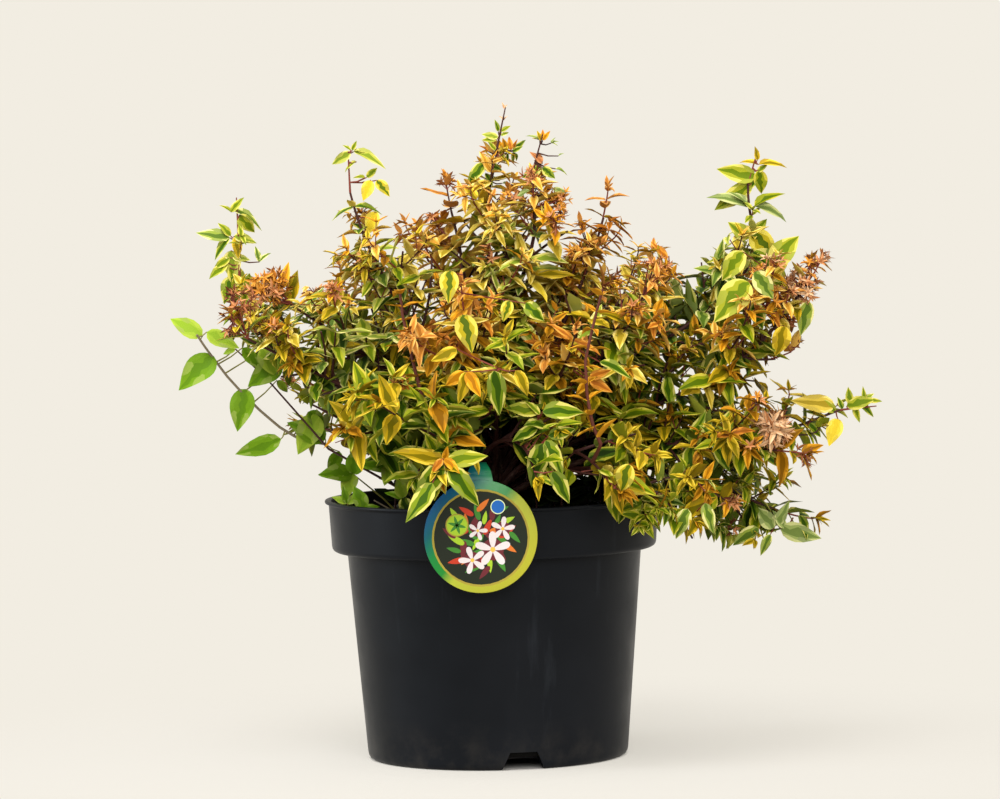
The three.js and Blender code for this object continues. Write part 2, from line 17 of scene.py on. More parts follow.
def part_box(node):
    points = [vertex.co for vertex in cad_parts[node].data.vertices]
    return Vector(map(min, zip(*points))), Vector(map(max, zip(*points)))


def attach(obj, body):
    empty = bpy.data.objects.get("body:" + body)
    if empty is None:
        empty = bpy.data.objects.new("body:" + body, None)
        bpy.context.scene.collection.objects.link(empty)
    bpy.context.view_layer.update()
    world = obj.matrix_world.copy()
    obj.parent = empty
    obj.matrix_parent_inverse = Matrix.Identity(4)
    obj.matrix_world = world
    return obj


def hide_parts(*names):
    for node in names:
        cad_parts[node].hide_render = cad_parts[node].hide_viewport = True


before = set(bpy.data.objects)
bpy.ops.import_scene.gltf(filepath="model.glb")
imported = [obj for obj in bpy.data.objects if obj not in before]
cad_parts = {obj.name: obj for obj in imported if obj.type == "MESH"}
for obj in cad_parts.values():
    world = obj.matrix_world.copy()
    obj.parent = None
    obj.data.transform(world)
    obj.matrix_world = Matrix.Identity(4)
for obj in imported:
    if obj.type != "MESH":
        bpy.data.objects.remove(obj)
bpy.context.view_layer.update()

MM = 0.001
UP = Vector((0, 0, 1))
RIGHT = Vector((1, 0, 0))

# Driving dimensions of the pot

POT_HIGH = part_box("pot")[1]
POT_HEIGHT = POT_HIGH.z
LIP_RADIUS = POT_HIGH.x
LIP_THICK = 1.6 * MM
BAND_RADIUS = 115.5 * MM
BAND_FOOT_RADIUS = 113.5 * MM
BAND_FOOT = POT_HEIGHT - 36 * MM
BODY_TOP_RADIUS = 103 * MM
BODY_FOOT_RADIUS = 91.5 * MM
WALL = 1.8 * MM
FOOT_RING_WIDTH = 9.5 * MM
FOOT_RECESS = 7 * MM
FOOT_SLANT = 4 * MM
FOOT_PAD_RADIUS = 22 * MM
POT_STEPS = 160
NOTCH_COUNT = 3
NOTCH_AZIMUTH = -79
NOTCH_FOOT_WIDTH = 31 * MM
NOTCH_TOP_WIDTH = 19 * MM
NOTCH_HEIGHT = 12.5 * MM
NOTCH_DEPTH = 14 * MM
DRAIN_HOLE_COUNT = 6
DRAIN_HOLE_RADIUS = 6 * MM
DRAIN_RING_RADIUS = 52 * MM

# Of the compost and the label

COMPOST_LOW, COMPOST_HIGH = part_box("compost")
COMPOST_TOP = 161 * MM
COMPOST_GAP = 0.4 * MM         # between the compost and the pot's wall
CRUMB_COUNT = 2200
CRUMB_REACH = 106 * MM         # how far from the pot's axis the crumbs lie
LABEL_LOW, LABEL_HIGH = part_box("label")
LABEL_RADIUS = (LABEL_HIGH.x - LABEL_LOW.x) / 2
LABEL_X = (LABEL_HIGH.x + LABEL_LOW.x) / 2
LABEL_Z = 164 * MM
LABEL_THICK = 1 * MM
LABEL_NECK_WIDTH = 18 * MM
LABEL_BEND_RADIUS = 15 * MM
LABEL_STAKE_POINT = 16 * MM
LABEL_BEVEL = 0.3 * MM
LABEL_STANDS = 0.03 * MM       # between the layers of the label

# Of the stem and the limbs, as in the frame's solids

STEM_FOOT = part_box("stem")[0].z
STEM_TOP = 215 * MM
STEM_FOOT_RADIUS = 13 * MM
STEM_RADIUS = 8.5 * MM
STEM_TAPER = 1 * MM
STEM_FLARE = 9 * MM
STEM_LEAN = 2.5 * MM
BOUGH_FOOT_RADIUS = 2.5 * MM
BOUGH_TIP_RADIUS = 2.2 * MM
SHOOT_TIP_RADIUS = 0.8 * MM
BOUGH_SHARE = 0.3
TOP_BOUGHS = 4
TIER_BOUGHS = 8
TIER_HEIGHTS = [202 * MM, 191 * MM, 180 * MM]
TOP_SPREAD = 80
TIER_SPREAD = 40
TOP_FOOT_RADIUS = 5.1 * MM
TOP_FOOT_SUNK = 3 * MM
SIDE_FOOT_SUNK = 2 * MM
LEVEL_START = 30
START_GAIN = 0.6
STEEPEST_START = 86
CURVE_HANDLE = 0.38

# Of the twigs, and of the sprays that the frame's leaf solids stand for

NODE_SPACING = 18 * MM
TWIG_LONGEST = 80 * MM
TWIG_SHORTEST = 20 * MM
TWIG_ANGLE = 52
TWIG_RISE = 0.15
TWIG_TRIES = [1, 0.75, 0.5]
GOLDEN_ANGLE = 137.5
SPRAY_SPACING = 30 * MM
LEAST_NODES = 3
FIRST_NODE = 0.6
NODES_PAST = 0.2
FIRST_PAIR = 0.9
PAIRS_PAST = 0.6
TWIG_VARIES = (0.8, 1.15)
SPRAY_VARIES = (0.85, 1.1)
TWIG_TIP_SPRAY = 0.8
PAIR_TURN = 90
TURN_VARIES = 40
SPRAY_LENGTH = 60 * MM
SPRAY_WIDTH = 0.5
SPRAY_DIP = 1.2 * MM
SPRAY_WIDEST = 0.4
FACES_UP = 0.4
SPRAY_ANGLE = 50
SPRAY_TRIES = [1, 0.75, 0.55]
SPRAY_ROOT = 6 * MM
TIP_SPRAY = 0.5
TIP_SUNK = 3 * MM
SPACE_MARGIN = 1 * MM
LIMB_MARGIN = 1.2 * MM
POT_MARGIN = 2.5 * MM

# Of the leaves at their real size

LEAF_LONGEST = 28 * MM
LEAF_SHORTEST = 15 * MM
LEAF_SPACING = 7.8 * MM        # from one pair to the next along a spray's shoot
SIDE_SHOOTS = 0.6              # the share of a spray's nodes with a short shoot of their own
LEAF_CLEARANCE = 1.5 * MM      # how far leaves stay from the pot and the label
BIG_LEAF_HEIGHT = 180 * MM     # leaves have their full size at this height
SMALL_LEAF_HEIGHT = 430 * MM   # and their smallest here, by this much
SMALL_LEAF = 0.75
GREEN_HEIGHT = 205 * MM        # below here the leaves get greener
GREEN_REACH = 60 * MM          # and are so by this much further down
# Painted shade and light: from the lower to the upper of these heights, leaves go from shaded to sunlit
# copies of their tint
SHADED_HEIGHT = 250 * MM
SUNLIT_HEIGHT = 330 * MM
INNER_TWIGS = 13               # along each bough, with the leaves that shade the inside of the crown
INNER_TWIG_LENGTH = (20 * MM, 42 * MM)
INNER_SHOOTS = 34              # from the compost behind the stem
# Painted shade: leaves inside the crown's low middle take the near-black deep shade tint
SHADE_PAINT_RADIUS, SHADE_PAINT_HEIGHT, SHADE_PAINT_FRONT = 88 * MM, 250 * MM, -60 * MM     # within these it is dark
SEPAL_LENGTH = 5.4 * MM
YELLOW_SHARE = 0.008           # the share of leaves that have turned yellow
OUTER_WARMTH = (-1.7, 0.9)     # what a limb's leaves gain in warmth from its foot to its tip
YOUNG_WARMTH = (-1.1, 1.1)     # and from the foot of a spray to its tip
LOW_WARMTH = 1.4               # and lose low on the plant
WARMTH_VARIES = 0.55
OPEN_LABEL = (16 * MM, 30 * MM)    # what stays free over the label's middle, on its left and right
SPRAY_FILL = 0.74              # how much of its blade's length a spray's shoot takes
PAIR_ANGLE = 58
SIDE_SHOOT_ANGLE = 48
LINE_STEPS = 60                # points of a limb's middle line
LONG_SPIRE = 40 * MM           # a longer one may reach past the crown's outline

# Of the camera, in the photograph's place

CAMERA_DISTANCE = 3.6
CAMERA_HEIGHT = 0.455
CAMERA_LENS = 185.3
AIM = Vector((0.0061, 0, 0.2500))
CAMERA_ROLL = 1.15
CENTRE_X, CENTRE_Z = 6.2 * MM, 248.6 * MM      # what is measured in the middle of the picture

# Of the floor and the backdrop

BACKDROP = (242, 237, 226)
FLOOR_COLOUR = (184, 181, 177)
FLOOR_RADIUS = 0.5
FLOOR_FADES = (0.12, 0.6)      # from this radius outwards, where it is see-through by this much
FLOOR_SHADE = 5 * MM           # how far within the pot's foot the floor is solid

# The outline that the crown's leaves keep to, in mm: x and height as seen from the front
CROWN_OUTLINE = [
    (-190, 294), (-197, 306), (-197, 327), (-192, 339), (-200, 352), (-211, 366), (-199, 376),
    (-192, 390), (-183, 398), (-169, 395), (-155, 381), (-152, 360), (-154, 348), (-145, 342),
    (-136, 335), (-124, 329), (-119, 335), (-120, 348), (-110, 357), (-103, 366), (-98, 378),
    (-99, 394), (-105, 404), (-119, 416), (-108, 432), (-88, 432), (-71, 419), (-67, 404), (-62, 392),
    (-52, 383), (-38, 383), (-31, 388), (-41, 398), (-39, 412), (-18, 418), (-11, 437), (-3, 447),
    (4, 461), (14, 461), (20, 443), (43, 439), (53, 430), (60, 411), (62, 388), (70, 387), (76, 401),
    (83, 412), (94, 412), (103, 398), (108, 378), (112, 363), (123, 355), (131, 345), (140, 345),
    (147, 355), (161, 360), (161, 370), (171, 377), (171, 385), (154, 383), (152, 418), (171, 425),
    (180, 429), (192, 429), (207, 422), (214, 397), (201, 384), (200, 378), (220, 370), (221, 352),
    (246, 352), (246, 314), (228, 314), (221, 306), (221, 286), (213, 276), (200, 274), (200, 267),
    (220, 266), (236, 257), (246, 265), (257, 266), (276, 247), (276, 236), (255, 226), (245, 216),
    (234, 219), (227, 218), (235, 205), (214, 198), (218, 190), (234, 182), (244, 162), (241, 146),
    (206, 138), (192, 143), (155, 135), (127, 136), (102, 150), (78, 160), (57, 171), (18, 171),
    (-6, 169), (-38, 167), (-53, 174), (-63, 188), (-77, 197), (-101, 216), (-119, 232), (-134, 248),
    (-148, 266), (-169, 282),
]
# How low the leaves nearest the camera hang, in mm: from each x rightwards down to this height
SKIRT = [(-400, 0), (-54, 184), (-8, 244), (26, 196), (54, 236), (72, 0)]

# Leaves that are read from the photograph one by one, where a limb stands clear of the crown. Each is its
# foot's and its tip's x and height in mm as seen from the front, its kind and its tint, and for some how
# far they stand forwards from the limb.
PLACED_LEAVES = {
    "top_middle": [
        (5, 432, -7, 435, "leaf", "sunlit lime"), (4, 431, -7, 430, "leaf", "lime"),
        (7, 436, 14, 441, "leaf", "lime"), (5, 436, 3, 445, "leaf", "bright green"),
        (7, 433, 13, 437, "leaf", "sunlit lime"), (3, 423, -2, 430, "leaf", "lime"),
        (9, 423, 4, 431, "leaf", "bronze"), (11, 423, 8, 432, "leaf", "deep bronze"),
        (14, 423, 12, 434, "leaf", "rust"), (16, 423, 17, 432, "narrow", "deep rust"),
        (16, 423, 24, 431, "leaf", "green"), (15, 422, 22, 426, "leaf", "bright green"),
        (7, 422, 10, 414, "leaf", "sunlit lime"), (11, 421, 12, 414, "narrow", "green"),
        (16, 422, 14, 412, "narrow", "sunlit green"), (17, 421, 19, 414, "narrow", "green"),
        (-2, 422, -8, 428, "narrow", "deep rust"), (-2, 422, -9, 423, "narrow", "deep rust"),
        (-3, 414, 3, 418, "narrow", "deep rust"), (-2, 414, 8, 408, "leaf", "green"),
        (-4, 414, -19, 399, "leaf", "bright green"), (-4, 407, 2, 398, "leaf", "green"),
        (5, 402, 1, 406, "narrow", "grey green"), (6, 402, 9, 404, "narrow", "grey green"),
        (8, 400, 16, 400, "narrow", "grey green"), (9, 444, 6, 448, "narrow", "faded"),
        (9, 444, 11, 448, "narrow", "faded"), (9, 452, 8, 457, "narrow", "faded"),
        (9, 452, 11, 456, "narrow", "faded"),
    ],
    "top_right": [
        (34, 430, 26, 437, "narrow", "grey green"), (35, 430, 28, 433, "narrow", "gold"),
        (35, 430, 32, 437, "leaf", "gold"), (36, 430, 36, 438, "leaf", "rust"),
        (36, 430, 41, 437, "leaf", "bronze"), (42, 428, 44, 433, "narrow", "grey green"),
        (42, 428, 48, 431, "narrow", "grey green"), (42, 428, 47, 428, "narrow", "sunlit green"),
        (47, 419, 51, 422, "narrow", "grey green"), (36, 414, 27, 423, "leaf", "spent"),
        (36, 414, 29, 417, "leaf", "faded"), (36, 415, 32, 423, "narrow", "spent"),
        (35, 411, 21, 404, "broad", "bright green"), (36, 411, 45, 403, "broad", "bright green"),
        (37, 412, 41, 415, "narrow", "spent"), (45, 410, 56, 408, "narrow", "sunlit green"),
        (33, 398, 22, 400, "leaf", "gold"), (27, 395, 13, 390, "narrow", "grey green"),
        (38, 393, 43, 402, "leaf", "rust"), (37, 394, 39, 399, "leaf", "bronze"),
        (43, 396, 54, 394, "leaf", "grey green"), (32, 390, 30, 394, "leaf", "gold"),
        (33, 390, 36, 394, "leaf", "gold"), (41, 392, 50, 389, "leaf", "deep bronze"),
    ],
    "right_spire": [
        (186, 416, 185, 426, "leaf", "gold"), (186, 413, 173, 420, "narrow", "gold"),
        (187, 413, 206, 418, "narrow", "gold"), (186, 408, 193, 414, "leaf", "lime"),
        (185, 404, 156, 411, "leaf", "lime"), (187, 409, 190, 391, "broad", "deep lime"),
        (185, 402, 178, 394, "leaf", "bright green"), (182, 400, 156, 379, "leaf", "lime"),
        (181, 383, 153, 401, "narrow", "grey green"), (181, 383, 168, 398, "narrow", "grey green"),
        (184, 384, 212, 380, "narrow", "grey green"), (184, 384, 204, 399, "narrow", "deep lime"),
        (181, 362, 165, 373, "broad", "lime", 26), (181, 362, 195, 377, "leaf", "lime"),
        (182, 367, 201, 345, "broad", "splashed yellow", 26),
        (180, 353, 160, 333, "broad", "sunlit lime", 26), (183, 352, 209, 328, "broad", "bright green", 26),
        (196, 343, 216, 366, "broad", "lime", 26), (198, 343, 203, 323, "broad", "lime"),
        (178, 322, 162, 314, "leaf", "lime"), (176, 316, 194, 303, "leaf", "bright green"),
        (188, 346, 186, 330, "leaf", "lime", 26),
    ],
    "left_spire": [
        (-182, 380, -173, 391, "leaf", "lime"), (-182, 380, -188, 387, "narrow", "lime"),
        (-180, 381, -155, 371, "narrow", "sunlit green"), (-176, 378, -165, 363, "broad", "lime"),
        (-183, 362, -207, 366, "leaf", "sunlit green"), (-182, 363, -191, 374, "leaf", "lime"),
        (-180, 363, -162, 360, "leaf", "sunlit lime"), (-183, 362, -196, 347, "narrow", "bright green"),
        (-178, 363, -177, 347, "leaf", "gold"), (-182, 353, -180, 330, "broad", "sunlit lime"),
        (-183, 348, -195, 340, "leaf", "lime"), (-181, 349, -168, 346, "leaf", "sunlit lime"),
        (-162, 345, -165, 358, "narrow", "sunlit green"), (-162, 345, -155, 354, "narrow", "sunlit green"),
        (-183, 341, -170, 324, "broad", "lime"), (-180, 335, -188, 315, "broad", "bright green"),
        (-179, 335, -170, 313, "broad", "deep lime"), (-184, 344, -199, 334, "leaf", "lime"),
    ],
    "upper_left": [
        (-98, 422, -113, 411, "leaf", "sunlit lime"), (-96, 422, -70, 415, "narrow", "sunlit lime"),
        (-98, 423, -104, 428, "narrow", "lime"), (-97, 423, -94, 430, "leaf", "lime"),
        (-96, 422, -85, 425, "narrow", "lime"), (-94, 415, -105, 411, "narrow", "lime"),
        (-87, 404, -79, 412, "leaf", "lime"), (-88, 404, -97, 406, "narrow", "lime"),
        (-84, 402, -90, 387, "broad", "yellow"), (-80, 402, -70, 391, "broad", "splashed yellow"),
        (-80, 380, -89, 363, "broad", "yellow"),
    ],
    "left_green": [
        (-202, 293, -228, 308, "leaf", "pale plain"), (-199, 296, -176, 284, "leaf", "pale plain"),
        (-194, 279, -220, 257, "broad", "plain"), (-172, 256, -178, 226, "broad", "plain"),
        (-147, 221, -181, 208, "leaf", "plain"), (-116, 221, -143, 234, "broad", "plain"),
        (-122, 238, -135, 210, "broad", "pale plain"), (-128, 240, -114, 226, "broad", "plain"),
        (-147, 276, -171, 258, "broad", "plain"), (-174, 285, -160, 268, "leaf", "plain"),
        (-161, 284, -148, 263, "broad", "pale plain"), (-106, 212, -115, 197, "broad", "plain"),
        (-179, 284, -190, 280, "leaf", "pale plain"), (-150, 262, -140, 252, "leaf", "pale plain"),
    ],
    "right_end": [
        (180, 331, 154, 304, "broad", "lime", 36), (184, 338, 199, 318, "broad", "sunlit green", 30),
        (176, 352, 160, 331, "broad", "lime", 30), (184, 316, 190, 296, "broad", "green", 24),
        (205, 300, 200, 276, "broad", "gold", 16), (222, 318, 216, 292, "leaf", "sunlit green", 4),
    ],
    "far_right": [
        (241, 244, 209, 249, "leaf", "sunlit gold"), (243, 235, 236, 216, "broad", "yellow"),
        (249, 244, 269, 251, "leaf", "lime"), (252, 245, 249, 258, "leaf", "lime"),
        (258, 245, 272, 236, "narrow", "bright green"), (260, 247, 268, 254, "leaf", "sunlit lime"),
        (241, 240, 229, 250, "leaf", "lime"), (246, 242, 243, 251, "leaf", "bright green"),
        (223, 232, 232, 221, "leaf", "bright green"), (232, 236, 220, 245, "narrow", "sunlit green"),
        (254, 244, 259, 232, "leaf", "lime"), (264, 248, 274, 248, "leaf", "lime"),
        (262, 247, 260, 258, "narrow", "lime"),
    ],
    "right_drop": [
        (203, 158, 232, 152, "leaf", "grey green", 8), (198, 158, 186, 174, "broad", "grey green", 8),
        (200, 160, 208, 178, "leaf", "grey green", 8), (206, 158, 198, 172, "leaf", "grey green", 8),
        (196, 154, 188, 138, "leaf", "sunlit green", 8), (188, 158, 166, 146, "leaf", "sunlit green", 6),
    ],
    "front_top": [
        (-29, 339, -30, 316, "broad", "splashed yellow", 20),
        (-20, 308, -13, 281, "broad", "splashed yellow", 20),
        (13, 318, 8, 303, "broad", "splashed yellow", 20), (24, 316, 37, 303, "broad", "bright green", 20),
    ],
    "front_centre": [
        (17, 269, 29, 250, "leaf", "gold", 8), (2, 269, 7, 236, "leaf", "green", 8),
        (-18, 268, -20, 244, "leaf", "gold", 8), (-17, 268, -7, 250, "leaf", "bronze", 8),
        (-19, 268, -34, 256, "leaf", "bronze", 8), (-24, 284, -42, 275, "leaf", "gold", 4),
    ],
    "front_top_right": [
        (76, 275, 101, 267, "narrow", "bright green", 10), (69, 262, 86, 254, "leaf", "rust", 10),
        (68, 262, 58, 250, "leaf", "bronze", 10), (69, 264, 84, 270, "leaf", "rust", 10),
    ],
    "front_left": [
        (-33, 203, -56, 175, "leaf", "green", 4), (-30, 201, -5, 174, "leaf", "bright green", 4),
        (-41, 190, -59, 162, "leaf", "bright green", 6), (-31, 205, -1, 210, "leaf", "lime", 2),
        (-35, 225, -3, 219, "leaf", "bronze", 2), (-33, 207, -21, 197, "leaf", "bronze", 6),
        (-34, 207, -43, 196, "leaf", "rust", 6), (-33, 206, -30, 216, "leaf", "bronze", 6),
        (-38, 225, -54, 229, "leaf", "lime", 2), (-38, 226, -47, 241, "leaf", "lime", 2),
        (-37, 226, -31, 243, "leaf", "lime", 2), (-36, 226, -22, 238, "leaf", "lime", 2),
        (-38, 225, -50, 212, "leaf", "bright green", 2), (-37, 224, -28, 212, "leaf", "gold", 2),
    ],
    "front_middle": [
        (36, 240, 67, 241, "leaf", "bright green", 2), (34, 240, 8, 245, "leaf", "lime", 2),
        (36, 218, 27, 184, "leaf", "green", 4), (38, 220, 53, 194, "leaf", "bright green", 3),
        (43, 198, 56, 175, "leaf", "green", 2), (40, 223, 61, 228, "leaf", "green", 2),
        (33, 229, 12, 220, "leaf", "bright green", 2), (35, 214, 44, 192, "narrow", "green", 0),
        (36, 226, 46, 236, "narrow", "lime", 2), (34, 238, 24, 250, "narrow", "lime", 2),
    ],
    "front_right": [
        (97, 203, 89, 180, "broad", "splashed yellow", 14),
    ],
    "front_right_drop": [
        (138, 172, 128, 148, "leaf", "sunlit green", 10), (150, 176, 156, 152, "leaf", "sunlit green", 10),
    ],
}
# Beyond this x and height in mm, such a limb has those leaves and small tufts only
CLEAR_FROM = {"top_middle": (-400, 402), "top_right": (-400, 392), "right_spire": (-400, 318),
              "left_spire": (-400, 322), "upper_left": (-400, 396), "far_right": (226, 0),
              "left_green": (-400, 0)}
# Large heads of spent blossom: x and height in mm, the size of their sepals, and their tints
BLOSSOM_HEADS = {
    "top_right": (48, 384, 0.8, ("spent", "rust")), "right_inner": (118, 343, 0.65, ("spent", "rust")),
    "right_low": (198, 229, 1.7, ("faded", "faded", "spent")), "right_end": (219, 331, 1, ("spent", "faded")),
    "left_arm_low": (-178, 312, 0.9, ("spent", "dark spent")),
    "left_arm_high": (-156, 327, 1.1, ("spent", "rust")),
}
# The green shoot and a second thin twig by it, as x and height in mm
GREEN_SHOOT = [(-133, 220), (-148, 229), (-162, 241), (-175, 254), (-185, 265), (-194, 277), (-200, 285),
               (-206, 294)]
GREEN_TWIG = [(-64, 186), (-114, 214), (-135, 238), (-157, 263), (-179, 284)]
# Stems that show between the leaves in front, by limb: x and height in mm from the limb outwards
SHOWN_STEMS = {
    "front_right": [(77, 217), (71, 231), (67, 252), (66, 277), (72, 303), (78, 326)],
    "left_front": [(-48, 250), (-53, 268), (-58, 290), (-62, 308), (-64, 326)],
}
# Weak shoots by the rim, in mm: foot, tip, colour of the twig, and each leaf's way, length and tint
BASAL_SHOOTS = [
    ((-92, -20, 158), (-102, -24, 181), "green twig",
     [((-0.8, -0.1, 0.5), 13, "pale plain"), ((-0.2, -0.2, 1), 14, "plain"),
      ((0.9, 0, 0.5), 15, "pale plain")]),
    ((-84, -34, 158), (-90, -38, 178), "green twig",
     [((-0.3, 0, 1), 19, "plain"), ((0.8, -0.3, 0.3), 12, "plain")]),
    ((-48, -50, 160), (-82, -66, 186), "grey twig", []),
    ((-40, -64, 160), (-62, -74, 188), "grey twig",
     [((-0.2, -0.3, 1), 17, "pale plain"), ((0.3, -0.4, -0.8), 18, "pale shade"),
      ((-0.8, 0, 0.3), 14, "plain")]),
    ((-56, 4, 160), (-98, -2, 200), "green twig",
     [((-0.9, -0.3, 0.1), 26, "plain"), ((0.2, -0.5, 0.9), 24, "plain"),
      ((-0.3, -0.6, -0.6), 22, "pale plain")]),
    ((-44, -24, 160), (-70, -52, 208), "green twig",
     [((-0.9, -0.2, 0.2), 25, "plain"), ((0.7, -0.4, 0.3), 24, "plain"),
      ((-0.2, -0.8, -0.4), 20, "pale plain")]),
]

# Every limb: the tip of its foliage in mm, how much of its end has no twigs in mm, the pitch of its tip,
# and its warmth: how far its leaves have turned, from 0, green with cream edges, over 2, lime, to 5, rust.
# Start is its pitch at the stem where that doesn't follow from the way to the tip. Flowers is how many of
# its outer sprays end in spent blossom, size makes its leaves larger, fullness keeps a share of its
# sprays, and bow bends its shoot by so many mm.
LIMBS = [
    ("top_middle", (10, 10, 455), 62, 84, 3.3, dict(flowers=0.5, size=1.15, bow=(-7, 0, 0))),
    ("top_right", (36, -34, 436), 45, 78, 3.2, dict(flowers=0.5, size=1.15, bow=(8, 0, 0))),
    ("top_left", (-32, 34, 408), 40, 70, 4, dict(flowers=0.3, size=1.1)),
    ("upper_left", (-100, -56, 424), 70, 76, 2.9, dict(flowers=0.2, fullness=0.66)),
    ("left_spire", (-178, 16, 392), 80, 84, 1.6, dict(start=36, bow=(-13, 0, 0))),
    ("left_arm_high", (-158, -52, 336), 30, 34, 2.6, dict(flowers=0.8, fullness=0.5)),
    ("left_arm_low", (-188, -82, 312), 30, 28, 2.4, dict(flowers=0.4, fullness=0.55)),
    ("left_green", (-228, -26, 306), 150, 40, 0, dict(start=-4)),
    ("right_middle", (88, -14, 402), 50, 74, 4, dict(flowers=0.5, fullness=0.85)),
    ("right_inner", (117, -84, 346), 36, 58, 3.1, dict(flowers=0.3, fullness=0.9)),
    ("right_spire", (186, 16, 424), 84, 84, 1.6, dict(start=44, size=1.2, bow=(18, 0, 0))),
    ("right_end", (231, -34, 346), 34, 58, 3.1, dict(start=36, flowers=0.7)),
    ("far_right", (270, 4, 246), 110, 18, 2, dict(fullness=0.5, bow=(0, 0, -6))),
    ("right_low", (220, -90, 213), 30, -6, 2.6, dict(flowers=0.5)),
    ("right_drop", (228, -30, 158), 30, -22, 2.0, dict(start=40, flowers=0.3, fullness=0.8)),
    ("front_right_drop", (138, -112, 160), 24, -42, 2.0, dict(flowers=0.2)),
    ("front_right", (86, -168, 188), 24, -36, 2.4, dict(flowers=0.1, size=1.2)),
    ("front_middle", (30, -190, 200), 24, -34, 0.9, dict(size=1.45, fullness=0.6)),
    ("front_left", (-36, -180, 206), 24, -30, 1.4, dict(size=1.5, fullness=0.75)),
    ("front_centre", (6, -176, 272), 24, 16, 1.9, dict(flowers=0.1, size=1.35)),
    ("left_front", (-104, -134, 232), 26, -6, 1.5, dict(flowers=0.2, size=1.4)),
    ("front_top", (-20, -130, 338), 30, 52, 4.1, dict(flowers=0.3)),
    ("front_top_right", (62, -136, 306), 30, 44, 4.1, dict(flowers=0.3)),
    ("back_left", (-112, 146, 346), 40, 60, 2.7, dict(flowers=0.4)),
    ("back_middle", (12, 196, 318), 34, 42, 2.4, dict(flowers=0.4)),
    ("back_right", (124, 154, 352), 44, 62, 2.8, dict(flowers=0.5)),
    ("back_low_left", (-146, 136, 222), 30, -4, 1.6, dict(flowers=0.2)),
    ("back_low_right", (138, 158, 206), 30, -10, 1.8, dict(flowers=0.3)),
]

radians = math.radians


def lerp(low, high, share):
    return low + (high - low) * share


def clamp(value, low=0.0, high=1.0):
    return max(low, min(high, value))


# Materials

def linear(red, green, blue):
    """A colour given as it looks on a screen, from 0 to 255, as Blender's linear RGBA."""
    shares = [value / 255 for value in (red, green, blue)]
    return (*[s / 12.92 if s < 0.04045 else ((s + 0.055) / 1.055) ** 2.4 for s in shares], 1)


def socket_name(key):
    return key.replace("_", " ").title().replace("Ior", "IOR")


def plain(name, colour, roughness=0.5, **sockets):
    """A material of one colour, for the small things whose colours are dealt out by piece."""
    material = bpy.data.materials.new(name)
    material.use_nodes = True
    shader = material.node_tree.nodes["Principled BSDF"]
    shader.inputs["Base Color"].default_value = linear(*colour)
    shader.inputs["Roughness"].default_value = roughness
    for socket, value in sockets.items():
        shader.inputs[socket_name(socket)].default_value = value
    return material


class Pattern:
    """A material whose nodes read the piece's own Object coordinates, or its UV map."""

    def __init__(self, name, roughness, by_uv=False, **sockets):
        self.material = plain(name, (128, 128, 128), roughness, **sockets)
        self.tree = self.material.node_tree
        self.shader = self.tree.nodes["Principled BSDF"]
        place = self.tree.nodes.new("ShaderNodeTexCoord")
        self.place = place.outputs["UV" if by_uv else "Object"]

    def node(self, kind, **inputs):
        made = self.tree.nodes.new("ShaderNode" + kind)
        for name, value in inputs.items():
            self.feed(made.inputs[socket_name(name)], value)
        return made

    def feed(self, socket, value):
        if isinstance(value, bpy.types.NodeSocket):
            self.tree.links.new(value, socket)
        else:
            socket.default_value = value

    def stretched(self, *scale):
        mapping = self.node("Mapping", Vector=self.place, Scale=scale)
        return mapping.outputs["Vector"]

    def noise(self, scale, detail=4, roughness=0.5, place=None):
        made = self.node("TexNoise", Vector=place or self.place, Scale=scale, Detail=detail,
                         Roughness=roughness)
        return made.outputs["Fac"]

    def ramp(self, value, *stops):
        made = self.node("ValToRGB", Fac=value)
        elements = made.color_ramp.elements
        while len(elements) < len(stops):
            elements.new(0.5)
        for element, (position, colour) in zip(elements, stops):
            element.position = position
            element.color = linear(*colour) if len(colour) == 3 else (*colour * 3, 1)
        return made.outputs["Color"]

    def between(self, value, low, high, new_low=0.0, new_high=1.0):
        made = self.node("MapRange", Value=value, From_Min=low, From_Max=high, To_Min=new_low,
                         To_Max=new_high)
        return made.outputs["Result"]

    def maths(self, operation, *values):
        made = self.tree.nodes.new("ShaderNodeMath")
        made.operation = operation
        for socket, value in zip(made.inputs, values):
            self.feed(socket, value)
        return made.outputs[0]

    def mix(self, share, first, second):
        made = self.tree.nodes.new("ShaderNodeMix")
        made.data_type = "RGBA"
        for socket, value in zip([made.inputs[0], made.inputs[6], made.inputs[7]], [share, first, second]):
            self.feed(socket, value)
        return made.outputs[2]

    def axes(self):
        return self.node("SeparateXYZ", Vector=self.place).outputs

    def bump(self, height, strength, distance):
        made = self.node("Bump", Height=height, Strength=strength, Distance=distance)
        self.tree.links.new(made.outputs["Normal"], self.shader.inputs["Normal"])

    def use(self, colour, roughness=None):
        self.feed(self.shader.inputs["Base Color"], colour)
        if roughness:
            self.feed(self.shader.inputs["Roughness"], roughness)
        return self.material


def pot_plastic():
    """Matt black moulded plastic with a faint grain, scuffs and a little dust at its foot."""
    made = Pattern("pot plastic", 0.36, specular_ior_level=0.075)
    cloudy = made.noise(9, 3)
    tone = made.ramp(cloudy, (0.3, (12, 14, 17)), (0.7, (18, 20, 24)))
    scuffs = made.between(made.noise(60, 6, 0.7, made.stretched(1, 1, 0.12)), 0.60, 0.74)
    worn = made.mix(made.maths("MULTIPLY", scuffs, 0.16), tone, linear(52, 56, 62))
    low = made.between(made.axes()["Z"], 0.035, 0.0)
    dust = made.maths("MULTIPLY", low, made.between(made.noise(45, 5, 0.65), 0.45, 0.8))
    colour = made.mix(made.maths("MULTIPLY", dust, 0.22), worn, linear(84, 78, 70))
    grain = made.noise(1400, 2)
    made.bump(grain, 0.10, 0.0003)
    return made.use(colour, made.between(made.noise(35, 4), 0.3, 0.7, 0.32, 0.44))


